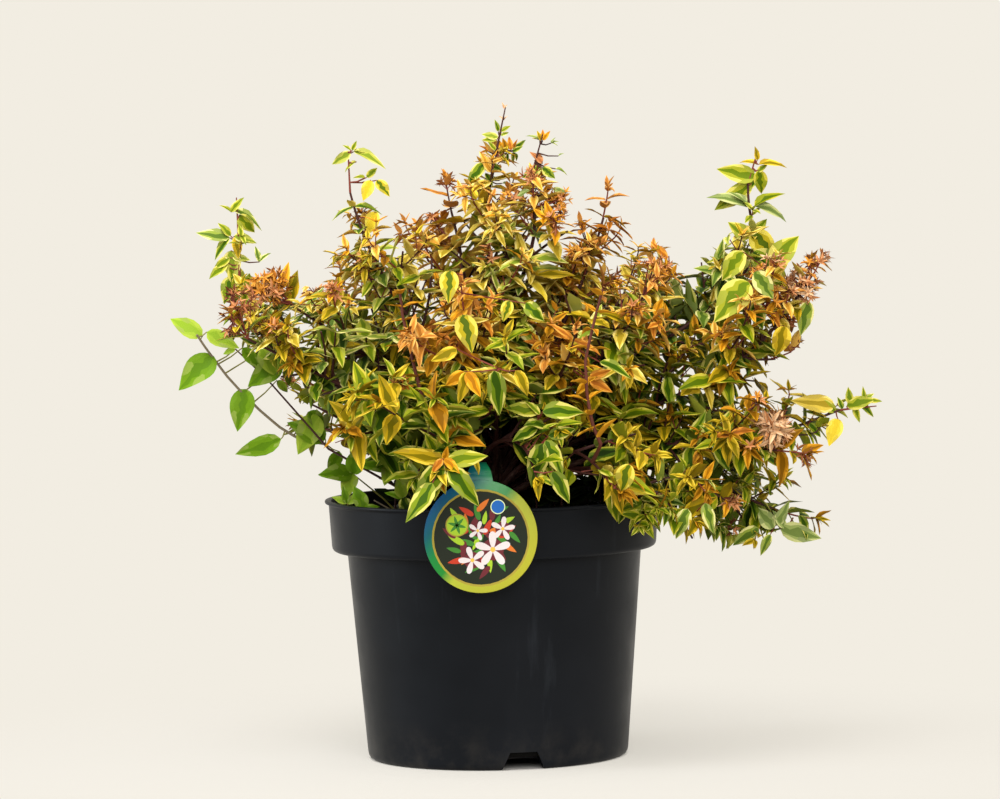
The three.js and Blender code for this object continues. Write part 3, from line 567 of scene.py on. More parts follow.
def compost_finish():
    made = Pattern("damp compost", 0.95, specular_ior_level=0.1)
    clods = made.noise(160, 8, 0.7)
    fibres = made.noise(420, 4, 0.6, made.stretched(1, 0.25, 1))
    dark = made.ramp(clods, (0.25, (9, 7, 6)), (0.55, (30, 21, 15)), (0.8, (58, 42, 29)))
    brown = made.mix(made.between(fibres, 0.62, 0.75), dark, linear(84, 62, 42))
    # Painted shade: the compost goes near black towards its bottom, as the shadow inside the pot
    colour = made.mix(made.between(made.axes()[2], 0.02, 0.06), linear(5, 4, 3), brown)
    made.bump(clods, 0.8, 0.003)
    return made.use(colour)


def bark_finish():
    """Thin reddish-brown bark that peels in long pale grey strips."""
    made = Pattern("bark", 0.8, by_uv=True, specular_ior_level=0.2)
    strips = made.noise(900, 6, 0.6, made.stretched(1, 0.07, 1))
    blotches = made.noise(160, 3, 0.5, made.stretched(1, 0.4, 1))
    brown = made.ramp(strips, (0.30, (30, 14, 11)), (0.50, (58, 30, 22)), (0.72, (92, 60, 44)))
    grey = made.mix(made.between(blotches, 0.52, 0.72), brown, linear(120, 102, 84))
    colour = made.mix(0.45, grey, brown)
    made.bump(strips, 0.6, 0.0012)
    return made.use(colour)


def card_finish():
    """Printed card: its edge runs from blue on the left over green to yellow-green on the right."""
    made = Pattern("printed card", 0.3, specular_ior_level=0.25)
    axes = made.axes()
    across = made.between(axes["X"], LABEL_X - LABEL_RADIUS, LABEL_X + LABEL_RADIUS)
    up = made.between(axes["Z"], LABEL_Z + LABEL_RADIUS, LABEL_Z - LABEL_RADIUS)
    slanting = made.maths("ADD", made.maths("MULTIPLY", across, 0.55), made.maths("MULTIPLY", up, 0.45))
    fibres = made.noise(700, 2)
    wavy = made.maths("ADD", slanting, made.maths("MULTIPLY", fibres, 0.02))
    colour = made.ramp(wavy, (0.10, (14, 72, 140)), (0.25, (6, 84, 92)), (0.36, (20, 116, 50)),
                       (0.47, (28, 118, 40)), (0.55, (160, 166, 48)), (0.9, (158, 154, 38)))
    return made.use(colour, made.between(fibres, 0.3, 0.7, 0.28, 0.38))


# Plain colours of the leaves and sepals by tint: heart, flank, edge and back. The sunlit and shaded copies of
# a tint carry painted light and painted shade, and deep shade is painted shade.
LEAF_PARTS = ["heart", "flank", "edge", "back"]
TINTS = {
    "deep shade": ((12, 18, 5), (20, 30, 8), (34, 42, 16), (26, 34, 12)),
    "shade": ((24, 40, 4), (52, 74, 9), (140, 138, 39), (84, 98, 27)),
    "pale shade": ((36, 56, 12), (80, 98, 24), (180, 174, 88), (102, 114, 54)),
    "grey green": ((94, 110, 52), (128, 140, 76), (170, 172, 112), (120, 130, 78)),
    "sunlit green": ((74, 96, 29), (126, 140, 52), (200, 194, 125), (130, 140, 67)),
    "bright green": ((50, 76, 8), (106, 122, 20), (182, 174, 88), (116, 126, 46)),
    "green": ((40, 62, 6), (82, 100, 14), (168, 160, 80), (98, 108, 38)),
    "sunlit lime": ((110, 126, 34), (162, 162, 63), (204, 194, 119), (156, 158, 74)),
    "lime": ((86, 104, 12), (138, 140, 32), (186, 176, 84), (138, 142, 48)),
    "deep lime": ((68, 86, 6), (120, 126, 14), (170, 158, 56), (120, 126, 28)),
    "sunlit gold": ((146, 124, 30), (192, 166, 62), (214, 194, 110), (176, 154, 64)),
    "gold": ((112, 98, 10), (166, 138, 25), (200, 172, 54), (154, 128, 33)),
    "deep gold": ((84, 76, 4), (136, 112, 12), (176, 146, 30), (126, 106, 19)),
    "sunlit bronze": ((168, 120, 38), (204, 156, 60), (218, 188, 104), (190, 148, 68)),
    "bronze": ((146, 94, 10), (190, 128, 20), (206, 154, 44), (172, 120, 28)),
    "deep bronze": ((104, 68, 6), (146, 98, 14), (170, 120, 27), (130, 92, 19)),
    "sunlit rust": ((156, 98, 36), (188, 126, 50), (206, 158, 84), (170, 116, 56)),
    "rust": ((144, 82, 20), (180, 114, 34), (198, 142, 60), (160, 104, 36)),
    "deep rust": ((108, 60, 12), (146, 86, 23), (172, 112, 39), (126, 76, 23)),
    "yellow": ((194, 168, 40), (202, 178, 48), (210, 190, 78), (188, 166, 60)),
    "splashed yellow": ((72, 88, 14), (160, 144, 28), (194, 178, 72), (150, 138, 50)),
    "plain": ((74, 106, 14), (88, 120, 18), (94, 126, 24), (116, 136, 54)),
    "pale plain": ((114, 140, 34), (128, 150, 42), (140, 158, 52), (126, 142, 60)),
    "spent": ((142, 86, 48), (168, 108, 64), (190, 136, 92), (136, 88, 54)),
    "dark spent": ((100, 54, 32), (130, 74, 44), (156, 98, 64), (102, 60, 38)),
    "faded": ((176, 130, 88), (194, 150, 108), (208, 172, 134), (166, 126, 90)),
}
# Leaves that have turned by 0 to 5 steps, each as a copy with painted sunlight, as usual and as a copy with
# painted shade
WARMTHS = [("pale shade", "shade", "shade"), ("sunlit green", "bright green", "green"),
           ("sunlit lime", "lime", "deep lime"), ("sunlit gold", "gold", "deep gold"),
           ("sunlit bronze", "bronze", "deep bronze"), ("sunlit rust", "rust", "deep rust")]
TWIG_COLOURS = {"brown twig": (58, 28, 22), "red twig": (106, 46, 34), "dark red twig": (82, 38, 26),
                "green twig": (112, 106, 44), "grey twig": (112, 100, 80)}


def plain_set(colours, roughness, specular):
    return {name: plain(name, colour, roughness, specular_ior_level=specular)
            for name, colour in colours.items()}


LEAF_FINISHES = {(tint, part): plain(tint + " leaf " + part, colour, 0.42, specular_ior_level=0.03)
                 for tint, colours in TINTS.items() for part, colour in zip(LEAF_PARTS, colours)}
TWIG_FINISHES = plain_set(TWIG_COLOURS, 0.6, 0.2)


# Meshes

def place_piece(piece, slot, *nodes):
    """Puts a finished piece on the body and hides the frame's parts that it stands for. The slot is not used.
    """
    bpy.context.scene.collection.objects.link(piece)
    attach(piece, "root")
    if nodes:
        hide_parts(*nodes)
    return piece


def piece_from(name, shape, *materials):
    """An object at the origin from a bmesh in its final place."""
    mesh = bpy.data.meshes.new(name)
    shape.to_mesh(mesh)
    shape.free()
    for material in materials:
        mesh.materials.append(material)
    return bpy.data.objects.new(name, mesh)


def take_in(shape, other):
    """Adds a second bmesh to a first."""
    mesh = bpy.data.meshes.new("part")
    other.to_mesh(mesh)
    other.free()
    shape.from_mesh(mesh)


def moved_verts(geometry):
    return [part for part in geometry if isinstance(part, bmesh.types.BMVert)]


def smoothed(piece, angle):
    """Shades a piece smoothly but for the edges that turn sharply."""
    piece.data.polygons.foreach_set("use_smooth", [True] * len(piece.data.polygons))
    piece.data.set_sharp_from_angle(angle=radians(angle))
    return piece


def spun(outline, steps):
    """A bmesh lathed about Z from (radius, height) points that start and end on the axis or close."""
    shape = bmesh.new()
    points = [shape.verts.new((radius, 0, height)) for radius, height in outline]
    for first, second in zip(points, points[1:]):
        shape.edges.new((first, second))
    bmesh.ops.spin(shape, geom=shape.verts[:] + shape.edges[:], cent=(0, 0, 0), axis=(0, 0, 1),
                   angle=math.tau, steps=steps, use_merge=True)
    bmesh.ops.remove_doubles(shape, verts=shape.verts, dist=1e-6)
    bmesh.ops.recalc_face_normals(shape, faces=shape.faces)
    return shape


def rounded(corners, steps=4):
    """A line through corners given as (radius, height, rounding), each corner an arc of that size."""
    line = []
    for index, (radius, height, rounding) in enumerate(corners):
        corner = Vector((radius, height))
        if not rounding or index in (0, len(corners) - 1):
            line.append(tuple(corner))
            continue
        ways = [(Vector(corners[index + step][:2]) - corner) for step in (-1, 1)]
        reach = [min(rounding, way.length * 0.45) for way in ways]
        first, last = [corner + way.normalized() * far for way, far in zip(ways, reach)]
        for step in range(steps + 1):
            share = step / steps
            bent = first.lerp(corner, share).lerp(corner.lerp(last, share), share)
            line.append(tuple(bent))
    return line


class Form:
    """A small triangulated shape as arrays, to be set down many times in a joined mesh."""

    def __init__(self, shape):
        bmesh.ops.triangulate(shape, faces=shape.faces)
        shape.verts.index_update()
        self.places = np.array([vert.co for vert in shape.verts])
        self.corners = np.array([[vert.index for vert in face.verts] for face in shape.faces])
        self.parts = np.array([face.material_index for face in shape.faces])
        shape.free()


class Joined:
    """Many small shapes gathered into one mesh, each with its own plain colours."""

    def __init__(self):
        self.places, self.corners, self.finishes, self.colours, self.count = [], [], [], [], 0

    def add(self, places, form, colours):
        """Adds a form at its new places. Its parts take the colours in turn."""
        for colour in colours:
            if colour not in self.colours:
                self.colours.append(colour)
        lookup = np.array([self.colours.index(colour) for colour in colours])
        self.places.append(places)
        self.corners.append(form.corners + self.count)
        self.finishes.append(lookup[form.parts])
        self.count += len(places)

    def piece(self, name, finishes):
        places, corners = np.concatenate(self.places), np.concatenate(self.corners)
        mesh = bpy.data.meshes.new(name)
        mesh.vertices.add(len(places))
        mesh.loops.add(corners.size)
        mesh.polygons.add(len(corners))
        mesh.vertices.foreach_set("co", places.astype(np.float32).ravel())
        mesh.loops.foreach_set("vertex_index", corners.astype(np.int32).ravel())
        mesh.polygons.foreach_set("loop_start", np.arange(0, corners.size, 3, dtype=np.int32))
        mesh.polygons.foreach_set("material_index", np.concatenate(self.finishes).astype(np.int32))
        mesh.update(calc_edges=True)
        mesh.validate()
        for colour in self.colours:
            mesh.materials.append(finishes[colour])
        return smoothed(bpy.data.objects.new(name, mesh), 60)


def cut(piece, cutter):
    """Cuts a piece with another, which is then removed."""
    bpy.context.scene.collection.objects.link(piece)
    bpy.context.scene.collection.objects.link(cutter)
    modifier = piece.modifiers.new("cut", "BOOLEAN")
    modifier.operation = "DIFFERENCE"
    modifier.solver = "EXACT"
    modifier.object = cutter
    bpy.context.view_layer.update()
    finished = piece.evaluated_get(bpy.context.evaluated_depsgraph_get())
    mesh = bpy.data.meshes.new_from_object(finished)
    piece.modifiers.clear()
    piece.data = mesh
    bpy.context.scene.collection.objects.unlink(piece)
    bpy.data.objects.remove(cutter)
    return piece


# Pot

def pot_outline():
    ring_inner = BODY_FOOT_RADIUS - FOOT_RING_WIDTH
    lip = LIP_THICK
    outside = [
        (0, 0, 0), (FOOT_PAD_RADIUS, 0, 2 * MM), (FOOT_PAD_RADIUS + FOOT_SLANT, FOOT_RECESS, 2 * MM),
        (ring_inner - FOOT_SLANT, FOOT_RECESS, 2 * MM), (ring_inner, 0, 2 * MM),
        (BODY_FOOT_RADIUS - 0.5 * MM, 0, 5 * MM), (BODY_TOP_RADIUS, BAND_FOOT, 1.2 * MM),
        (BAND_FOOT_RADIUS, BAND_FOOT, 4 * MM), (BAND_RADIUS, POT_HEIGHT - 1.6 * lip, 1 * MM),
        (LIP_RADIUS, POT_HEIGHT - 1.2 * lip, 1 * MM), (LIP_RADIUS, POT_HEIGHT, 0.9 * MM),
    ]
    inside = [
        (BAND_RADIUS - WALL, POT_HEIGHT, 0.8 * MM), (BAND_FOOT_RADIUS - WALL, BAND_FOOT + WALL, 3 * MM),
        (BODY_TOP_RADIUS - WALL, BAND_FOOT + WALL, 2 * MM), (BODY_FOOT_RADIUS - WALL, WALL, 3 * MM),
        (ring_inner + 1 * MM, WALL, 1 * MM), (ring_inner - FOOT_SLANT, FOOT_RECESS + WALL, 1 * MM),
        (0, FOOT_RECESS + WALL, 0),
    ]
    return rounded(outside + inside)


def around(shape, count, first_azimuth):
    """Repeats a bmesh's shape around the Z axis."""
    parts = shape.verts[:] + shape.edges[:] + shape.faces[:]
    for index in range(1, count):
        copied = bmesh.ops.duplicate(shape, geom=parts)["geom"]
        bmesh.ops.rotate(shape, verts=moved_verts(copied), cent=(0, 0, 0),
                         matrix=Matrix.Rotation(math.tau * index / count, 3, "Z"))
    bmesh.ops.rotate(shape, verts=shape.verts, cent=(0, 0, 0),
                     matrix=Matrix.Rotation(radians(first_azimuth), 3, "Z"))
    return shape


def drain_cutter():
    """The wedges that cut the notches in the foot, and the pins that cut the drain holes."""
    notches = bmesh.new()
    bmesh.ops.create_cube(notches, size=2)
    for vert in notches.verts:
        width = NOTCH_FOOT_WIDTH if vert.co.z < 0 else NOTCH_TOP_WIDTH
        vert.co = (BODY_FOOT_RADIUS + vert.co.x * NOTCH_DEPTH, vert.co.y * width / 2,
                   NOTCH_HEIGHT if vert.co.z > 0 else -MM)
    around(notches, NOTCH_COUNT, NOTCH_AZIMUTH)
    holes = bmesh.new()
    bmesh.ops.create_cone(holes, cap_ends=True, segments=24, radius1=DRAIN_HOLE_RADIUS,
                          radius2=DRAIN_HOLE_RADIUS, depth=2 * FOOT_RECESS,
                          matrix=Matrix.Translation((DRAIN_RING_RADIUS, 0, FOOT_RECESS)))
    around(holes, DRAIN_HOLE_COUNT, 0)
    take_in(notches, holes)
    return piece_from("drains", notches)


def make_pot():
    pot = piece_from("nursery_pot", spun(pot_outline(), POT_STEPS), pot_plastic())
    place_piece(smoothed(cut(pot, drain_cutter()), 30), "pot_plastic", "pot")


# Compost

def compost_height(x, y):
    """The lumpy top of the compost, a little higher at the stem and lower by the pot's wall."""
    out = math.hypot(x, y) / COMPOST_HIGH.x
    lumps = noise.fractal(Vector((x, y, 0)) * 55, 1.0, 2.0, 4) * 2.2 * MM
    fine = noise.fractal(Vector((x, y, 3)) * 260, 1.0, 2.0, 3) * 0.8 * MM
    return lerp(COMPOST_HIGH.z - 1.5 * MM, COMPOST_TOP - 1 * MM, out) + lumps + fine


def make_compost():
    rings = 46
    rim = BAND_FOOT_RADIUS - WALL - COMPOST_GAP
    floor, ledge = COMPOST_LOW.z, BAND_FOOT + WALL + COMPOST_GAP
    outline = [(0, floor), (BODY_FOOT_RADIUS - WALL, floor), (BODY_TOP_RADIUS - 2 * WALL, ledge),
               (rim - 3 * MM, ledge), (rim, ledge + 3 * MM)]
    outline += [(rim * (1 - ring / rings), COMPOST_TOP) for ring in range(rings + 1)]
    shape = spun(outline, POT_STEPS)
    for vert in shape.verts:
        if vert.co.z > COMPOST_TOP - 1e-6:
            vert.co.z = compost_height(vert.co.x, vert.co.y)
    place_piece(smoothed(piece_from("compost_bed", shape, compost_finish()), 180), "compost", "compost")


def make_crumbs():
    """Loose crumbs of peat and bark on the compost."""
    draw = random.Random(7)
    tones = {"black crumb": (16, 12, 10), "brown crumb": (44, 29, 20), "bark crumb": (86, 60, 40)}
    shape = bmesh.new()
    bmesh.ops.create_icosphere(shape, subdivisions=1, radius=1)
    for vert in shape.verts:
        vert.co *= 0.8 + 0.4 * noise.noise(vert.co * 2)
    crumb, crumbs = Form(shape), Joined()
    for _ in range(CRUMB_COUNT):
        azimuth, out = draw.uniform(0, math.tau), math.sqrt(draw.uniform(0.02, 1)) * CRUMB_REACH
        size = Vector((draw.uniform(0.8, 2.4), draw.uniform(0.6, 1.6), draw.uniform(0.5, 1.2))) * MM
        turn = Quaternion((draw.gauss(0, 1), draw.gauss(0, 0.4), draw.gauss(0, 0.4), draw.gauss(0, 1)))
        basis = np.array(turn.normalized().to_matrix() @ Matrix.Diagonal(size))
        x, y = math.cos(azimuth) * out, math.sin(azimuth) * out
        foot = np.array((x, y, compost_height(x, y) + 0.3 * size.z))
        tone = draw.choices(list(tones), (4, 5, 2))[0]
        crumbs.add(crumb.places @ basis.T + foot, crumb, (tone,))
    place_piece(crumbs.piece("compost_crumbs", plain_set(tones, 0.95, 0.1)), "compost")


# Label

LABEL_FRONT = LABEL_LOW.y
NECK_BEND_Z = LABEL_HIGH.z - LABEL_BEND_RADIUS - 6 * MM
NECK_LENGTH = NECK_BEND_Z - LABEL_Z
STAKE_LENGTH = NECK_BEND_Z - LABEL_LOW.z


def strap_point(share):
    """The line of the strap: up from the disc, over the rim and down into the compost."""
    bend = LABEL_BEND_RADIUS - LABEL_THICK / 2
    middle = LABEL_FRONT + LABEL_BEND_RADIUS
    over_rim = math.pi * bend
    way = share * sum([NECK_LENGTH, over_rim, STAKE_LENGTH])
    if way < NECK_LENGTH:
        return Vector((LABEL_X, middle - bend, LABEL_Z + way))
    if way < NECK_LENGTH + over_rim:
        turn = (way - NECK_LENGTH) / bend
        return Vector((LABEL_X, middle, NECK_BEND_Z)) + Vector((0, -math.cos(turn), math.sin(turn))) * bend
    return Vector((LABEL_X, middle + bend, NECK_BEND_Z - (way - NECK_LENGTH - over_rim)))


def make_disc():
    """The label's round card, upright in its place."""
    shape = bmesh.new()
    bmesh.ops.create_cone(shape, cap_ends=True, segments=96, radius1=LABEL_RADIUS, radius2=LABEL_RADIUS,
                          depth=LABEL_THICK)
    rims = [edge for edge in shape.edges if abs(edge.verts[0].co.z - edge.verts[1].co.z) < 1e-6]
    bmesh.ops.bevel(shape, geom=rims, offset=LABEL_BEVEL, offset_type="OFFSET", affect="EDGES", segments=2,
                    profile=0.5, material=-1)
    bmesh.ops.rotate(shape, verts=shape.verts, cent=(0, 0, 0), matrix=Matrix.Rotation(math.pi / 2, 3, "X"))
    bmesh.ops.translate(shape, verts=shape.verts, vec=(LABEL_X, LABEL_FRONT + LABEL_THICK / 2, LABEL_Z))
    return shape


def make_strap():
    """The strap, flared where it leaves the disc, narrower over the rim and pointed at its stake end."""
    strap = bmesh.new()
    bmesh.ops.create_grid(strap, x_segments=2, y_segments=60, size=0.5)
    length = NECK_LENGTH + math.pi * LABEL_BEND_RADIUS + STAKE_LENGTH
    for vert in strap.verts:
        share = vert.co.y + 0.5
        point = clamp((1 - share) * length / LABEL_STAKE_POINT)
        foot = clamp(1 - share * length / (LABEL_RADIUS + 3 * MM))
        neck = clamp((share * length - NECK_LENGTH) / LABEL_NECK_WIDTH)
        flare = 1 + 0.7 * foot ** 2 - 0.45 * neck ** 2
        vert.co = strap_point(share) + RIGHT * vert.co.x * LABEL_NECK_WIDTH * flare * point
    bmesh.ops.remove_doubles(strap, verts=strap.verts, dist=1e-6)
    bmesh.ops.recalc_face_normals(strap, faces=strap.faces)
    bmesh.ops.solidify(strap, geom=strap.faces, thickness=LABEL_THICK * 0.96)
    behind = LABEL_FRONT + LABEL_STANDS - min(vert.co.y for vert in strap.verts)
    bmesh.ops.translate(strap, verts=strap.verts, vec=(0, behind, 0))
    return strap


def make_label():
    shape = make_disc()
    take_in(shape, make_strap())
    place_piece(smoothed(piece_from("plant_tag", shape, card_finish()), 40), "label_print", "label")


PRINT_COLOURS = {
    "picture ground": (24, 30, 18), "picture rim": (150, 134, 48), "blossom": (206, 196, 196),
    "blossom heart": (214, 170, 70), "red print": (176, 52, 28), "orange print": (196, 104, 36),
    "green print": (58, 118, 40), "lime print": (148, 180, 40), "blue print": (28, 92, 168),
    "wine print": (96, 34, 40), "pale line": (214, 226, 170),
}


def printed(prints, kind, across, up, size, turn, layer, colour):
    """Adds one printed shape to the label's face: a disc, a leaf or a petal, in millimetres."""
    shape = bmesh.new()
    bmesh.ops.create_circle(shape, cap_ends=True, segments=36 if kind == "disc" else 16, radius=1)
    for vert in shape.verts:
        x, y = vert.co.x, vert.co.y
        share = (y + 1) / 2
        if kind == "leaf":
            vert.co = (x * 0.42 * (1 - share) ** 0.4, y, 0)
        elif kind == "petal":
            vert.co = (x * 0.55 * (0.35 + 0.65 * share), y, 0)
    depth = LABEL_STANDS * layer
    pressed = bmesh.ops.extrude_face_region(shape, geom=shape.faces[:])["geom"]
    bmesh.ops.translate(shape, verts=moved_verts(pressed), vec=(0, 0, 1))
    bmesh.ops.recalc_face_normals(shape, faces=shape.faces)
    form = Form(shape)
    places = form.places * (size * MM, size * MM, depth)
    cosine, sine = math.cos(radians(turn)), math.sin(radians(turn))
    x = LABEL_X + across * MM + places[:, 0] * cosine - places[:, 1] * sine
    z = LABEL_Z + up * MM + places[:, 0] * sine + places[:, 1] * cosine
    flat = np.stack([x, LABEL_FRONT - places[:, 2], z], axis=1)
    form.corners = form.corners[:, ::-1]
    prints.add(flat, form, (colour,))


def printed_discs(prints, across, up, *discs):
    """Discs on one middle: the size, layer and colour of each."""
    for size, layer, colour in discs:
        printed(prints, "disc", across, up, size, 0, layer, colour)


def printed_star(prints, kind, across, up, count, first, size, layer, step, colour):
    """Petals or leaves that point away from one middle."""
    for index in range(count):
        turn = first + index * (360 // count)
        x, y = -math.sin(radians(turn)) * size, math.cos(radians(turn)) * size
        printed(prints, kind, across + x, up + y, size, turn, layer + step * index, colour)


def make_print():
    """A made-up picture of leaves and blossom for the label."""
    draw = random.Random(12)
    prints = Joined()
    leaf_colours = ("green print", "lime print", "wine print", "green print", "orange print", "red print")
    printed_discs(prints, 0, -1, (33.2, 1, "picture rim"), (31.8, 2, "picture ground"))
    for index in range(40):
        turn, out = index * GOLDEN_ANGLE, 24 * math.sqrt((index + 1) / 40)
        across, up = -math.sin(radians(turn)) * out, math.cos(radians(turn)) * out - 1
        leaning = turn + draw.uniform(-50, 50)
        printed(prints, "leaf", across, up, draw.uniform(4.5, 7), leaning, 3 + 0.08 * index,
                leaf_colours[index % 6])
    for across, up, size in ((8, -9, 6.2), (-6, -16, 4.8), (15, 5, 4.2), (-2, 4, 3.4)):
        printed_discs(prints, across, up, (size * 1.2, 7, "wine print"))
        printed_star(prints, "petal", across, up, 5, across * 9, size, 8, 0.1, "blossom")
        printed_discs(prints, across, up, (size * 0.28, 9, "blossom heart"))
    printed_discs(prints, -16, 8, (7.8, 10, "picture rim"), (7.0, 11, "lime print"))
    printed_star(prints, "leaf", -16, 8, 6, 15, 3.2, 12, 0, "green print")
    printed_discs(prints, 12, 20, (5.0, 10, "pale line"), (4.4, 11, "blue print"))
    place_piece(prints.piece("tag_print", plain_set(PRINT_COLOURS, 0.3, 0.2)), "label_print")


# Limbs, by the rule of the frame's solids

def seen_at(x, height, depth):
    """The point at a depth that is seen at x and height in mm, as measured in the plant's middle plane."""
    across, rise = x * MM - CENTRE_X, height * MM - CENTRE_Z
    slope = math.tan(radians(CAMERA_ROLL))
    across, rise = across + rise * slope + AIM.x, rise - across * slope + AIM.z
    far = 1 + depth / CAMERA_DISTANCE
    return Vector((across * far, depth, CAMERA_HEIGHT + (rise - CAMERA_HEIGHT) * far))


def chance(limb, twig, number):
    """A repeatable number from 0 to 1 for one draw on one twig of one limb."""
    mixed = math.sin(limb * 127.1 + twig * 311.7 + number * 74.7) * 43758.5453
    return mixed - math.floor(mixed)


def turned(vector, axis, angle):
    return Quaternion(axis, radians(angle)) @ vector


def moved_apart(angles, room):
    """Angles moved apart, in order, until neighbours round the circle keep their room."""
    order = sorted(range(len(angles)), key=lambda index: angles[index])
    moved = [angles[index] for index in order]
    for _ in range(200):
        for place in range(len(moved)):
            following = (place + 1) % len(moved)
            wrapped = 0 if following else 360
            lack = max(0, room - (moved[following] - moved[place] + wrapped))
            moved[place] -= lack / 2
            moved[following] += lack / 2
    apart = dict(zip(order, moved))
    return [apart[index] for index in range(len(angles))]


def slope_of(tip):
    return math.degrees(math.atan2(tip.z - STEM_TOP, math.hypot(tip.x, tip.y)))


class Limb:
    """A bough and the shoot that carries it on, as one line from the stem to the tip."""

    def __init__(self, index, name, tip, spire, pitch, warmth, flowers=0, size=1, fullness=1, start=None,
                 bow=(0, 0, 0)):
        self.index, self.name, self.spire, self.pitch = index, name, spire * MM, pitch
        self.tip, self.start, self.bow = Vector(tip) * MM, start, np.array(bow) * MM
        self.warmth, self.flowers, self.size, self.fullness = warmth, flowers, size, fullness
        self.green = name == "left_green"

    def stand(self, azimuth, radius, height):
        """Sets the limb's foot on the stem and draws its line."""
        footwards = turned(RIGHT, UP, azimuth)
        lean = STEM_LEAN * (height - COMPOST_TOP) / (STEM_TOP - COMPOST_TOP)
        foot = footwards * radius + Vector((lean, 0, height))
        tipwards = self.aim(Vector((self.tip.x, self.tip.y, 0)).normalized(), self.pitch)
        end = self.tip + tipwards * (TIP_SUNK - TIP_SPRAY * SPRAY_LENGTH)
        handle = CURVE_HANDLE * (end - foot).length
        usual = clamp(LEVEL_START + START_GAIN * slope_of(self.tip), LEVEL_START, STEEPEST_START)
        pitch = usual if self.start is None else self.start
        self.controls = np.array([foot, foot + self.aim(footwards, pitch) * handle,
                                  end - tipwards * handle, end])
        self.shares = np.linspace(0, 1, 201)
        steps = np.linalg.norm(np.diff(self.bezier(self.shares), axis=0), axis=1)
        self.lengths = np.concatenate([[0], np.cumsum(steps)])
        self.length = self.lengths[-1]
        self.bough_path = self.points(0, BOUGH_SHARE, 9)
        self.shoot_path = self.points(BOUGH_SHARE, 1, 13)
        return self

    @staticmethod
    def aim(level, pitch):
        return level * math.cos(radians(pitch)) + UP * math.sin(radians(pitch))

    def bezier(self, shares):
        t = np.asarray(shares)[:, None]
        a, b, c, d = self.controls
        return (1 - t) ** 3 * a + 3 * (1 - t) ** 2 * t * b + 3 * (1 - t) * t ** 2 * c + t ** 3 * d

    def points(self, first, last, count):
        """Points at equal steps of the line's length, as an array."""
        shares = np.linspace(first, last, count)
        line = self.bezier(np.interp(shares * self.length, self.lengths, self.shares))
        past_bough = np.clip((shares - BOUGH_SHARE) / (1 - BOUGH_SHARE), 0, 1)
        return line + np.outer(np.sin(math.pi * past_bough ** 1.6) ** 2, self.bow)

    def point(self, share):
        """A point on the shoot, the part of the line beyond the bough."""
        return Vector(self.points(lerp(BOUGH_SHARE, 1, share), 1, 1)[0])

    def along(self, share):
        step = 1e-3
        return (self.point(min(1, share + step)) - self.point(max(0, share - step))).normalized()


def grown_limbs():
    """Where each limb leaves the stem: the steepest at its top, the others at its side in tiers."""
    limbs = [Limb(index, *row, **rest) for index, (*row, rest) in enumerate(LIMBS)]
    steepest = sorted(limbs, key=lambda limb: -slope_of(limb.tip))

    def stand(group, room, radius, height):
        azimuths = [math.degrees(math.atan2(limb.tip.y, limb.tip.x)) for limb in group]
        for limb, azimuth in zip(group, moved_apart(azimuths, room)):
            limb.stand(azimuth, radius, height)

    stand(steepest[:TOP_BOUGHS], TOP_SPREAD, TOP_FOOT_RADIUS, STEM_TOP - TOP_FOOT_SUNK)
    for tier, height in enumerate(TIER_HEIGHTS):
        first = TOP_BOUGHS + tier * TIER_BOUGHS
        stand(steepest[first:first + TIER_BOUGHS], TIER_SPREAD, STEM_RADIUS - SIDE_FOOT_SUNK, height)
    return limbs


LIMBS_GROWN = grown_limbs()


def segments_of(paths):
    return np.concatenate([path[:-1] for path in paths]), np.concatenate([path[1:] for path in paths])


BOUGH_SEGMENTS = segments_of([limb.bough_path for limb in LIMBS_GROWN])
SHOOT_SEGMENTS = segments_of([limb.shoot_path for limb in LIMBS_GROWN])


def distances(points, segments):
    """The distance from each point to each segment."""
    first, last = segments
    way = last - first
    out = points[:, None, :] - first[None]
    share = np.clip((out * way).sum(2) / (way * way).sum(1), 0, 1)
    return np.linalg.norm(out - share[..., None] * way, axis=2)


def near_pot_or_label(point, margin=POT_MARGIN):
    across = abs(point[0] - LABEL_X)
    front = LABEL_FRONT - margin
    over_pot = (math.hypot(point[0], point[1]) < LIP_RADIUS + margin
                and point[2] < POT_HEIGHT + margin)
    over_disc = across < LABEL_RADIUS and front < point[1] < 0 and point[2] < LABEL_Z + LABEL_RADIUS
    over_neck = (across < LABEL_NECK_WIDTH / 2 + margin and point[2] < LABEL_HIGH.z + margin
                 and front < point[1] < front + 2 * (LABEL_BEND_RADIUS + margin))
    return over_pot or over_disc or over_neck


def in_own_space(limb, points):
    """Which points lie nearest to the limb's own shoot, and clear of every bough, pot and label."""
    to_shoots = distances(points, SHOOT_SEGMENTS).reshape(len(points), len(LIMBS_GROWN), -1).min(2)
    own = to_shoots[:, limb.index].copy()
    to_shoots[:, limb.index] = np.inf
    clear = distances(points, BOUGH_SEGMENTS).min(1) > BOUGH_FOOT_RADIUS + LIMB_MARGIN
    nearest = to_shoots.min(1) - own > 2 * SPACE_MARGIN
    return clear & nearest & ~np.array([near_pot_or_label(point) for point in points])


def branching(along, angle, turn):
    """A direction at an angle to a stem, turned about it."""
    across = along.cross(RIGHT if abs(along.z) > 0.9 else UP).normalized()
    side = turned(across, along, turn)
    return along * math.cos(radians(angle)) + side * math.sin(radians(angle))


def spray_corners(foot, along, length):
    """The corners of the blade that stands for a spray in the frame: foot, tip, left and right."""
    outwards = Vector((foot.x, foot.y, 0)).normalized()
    face = UP * FACES_UP + outwards * (1 - FACES_UP)
    face = (face - along * face.dot(along)).normalized()
    across = along.cross(face) * (0.5 * SPRAY_WIDTH * length)
    widest = foot + along * (SPRAY_WIDEST * length) + face * SPRAY_DIP
    return [foot, foot + along * length, widest - across, widest + across]


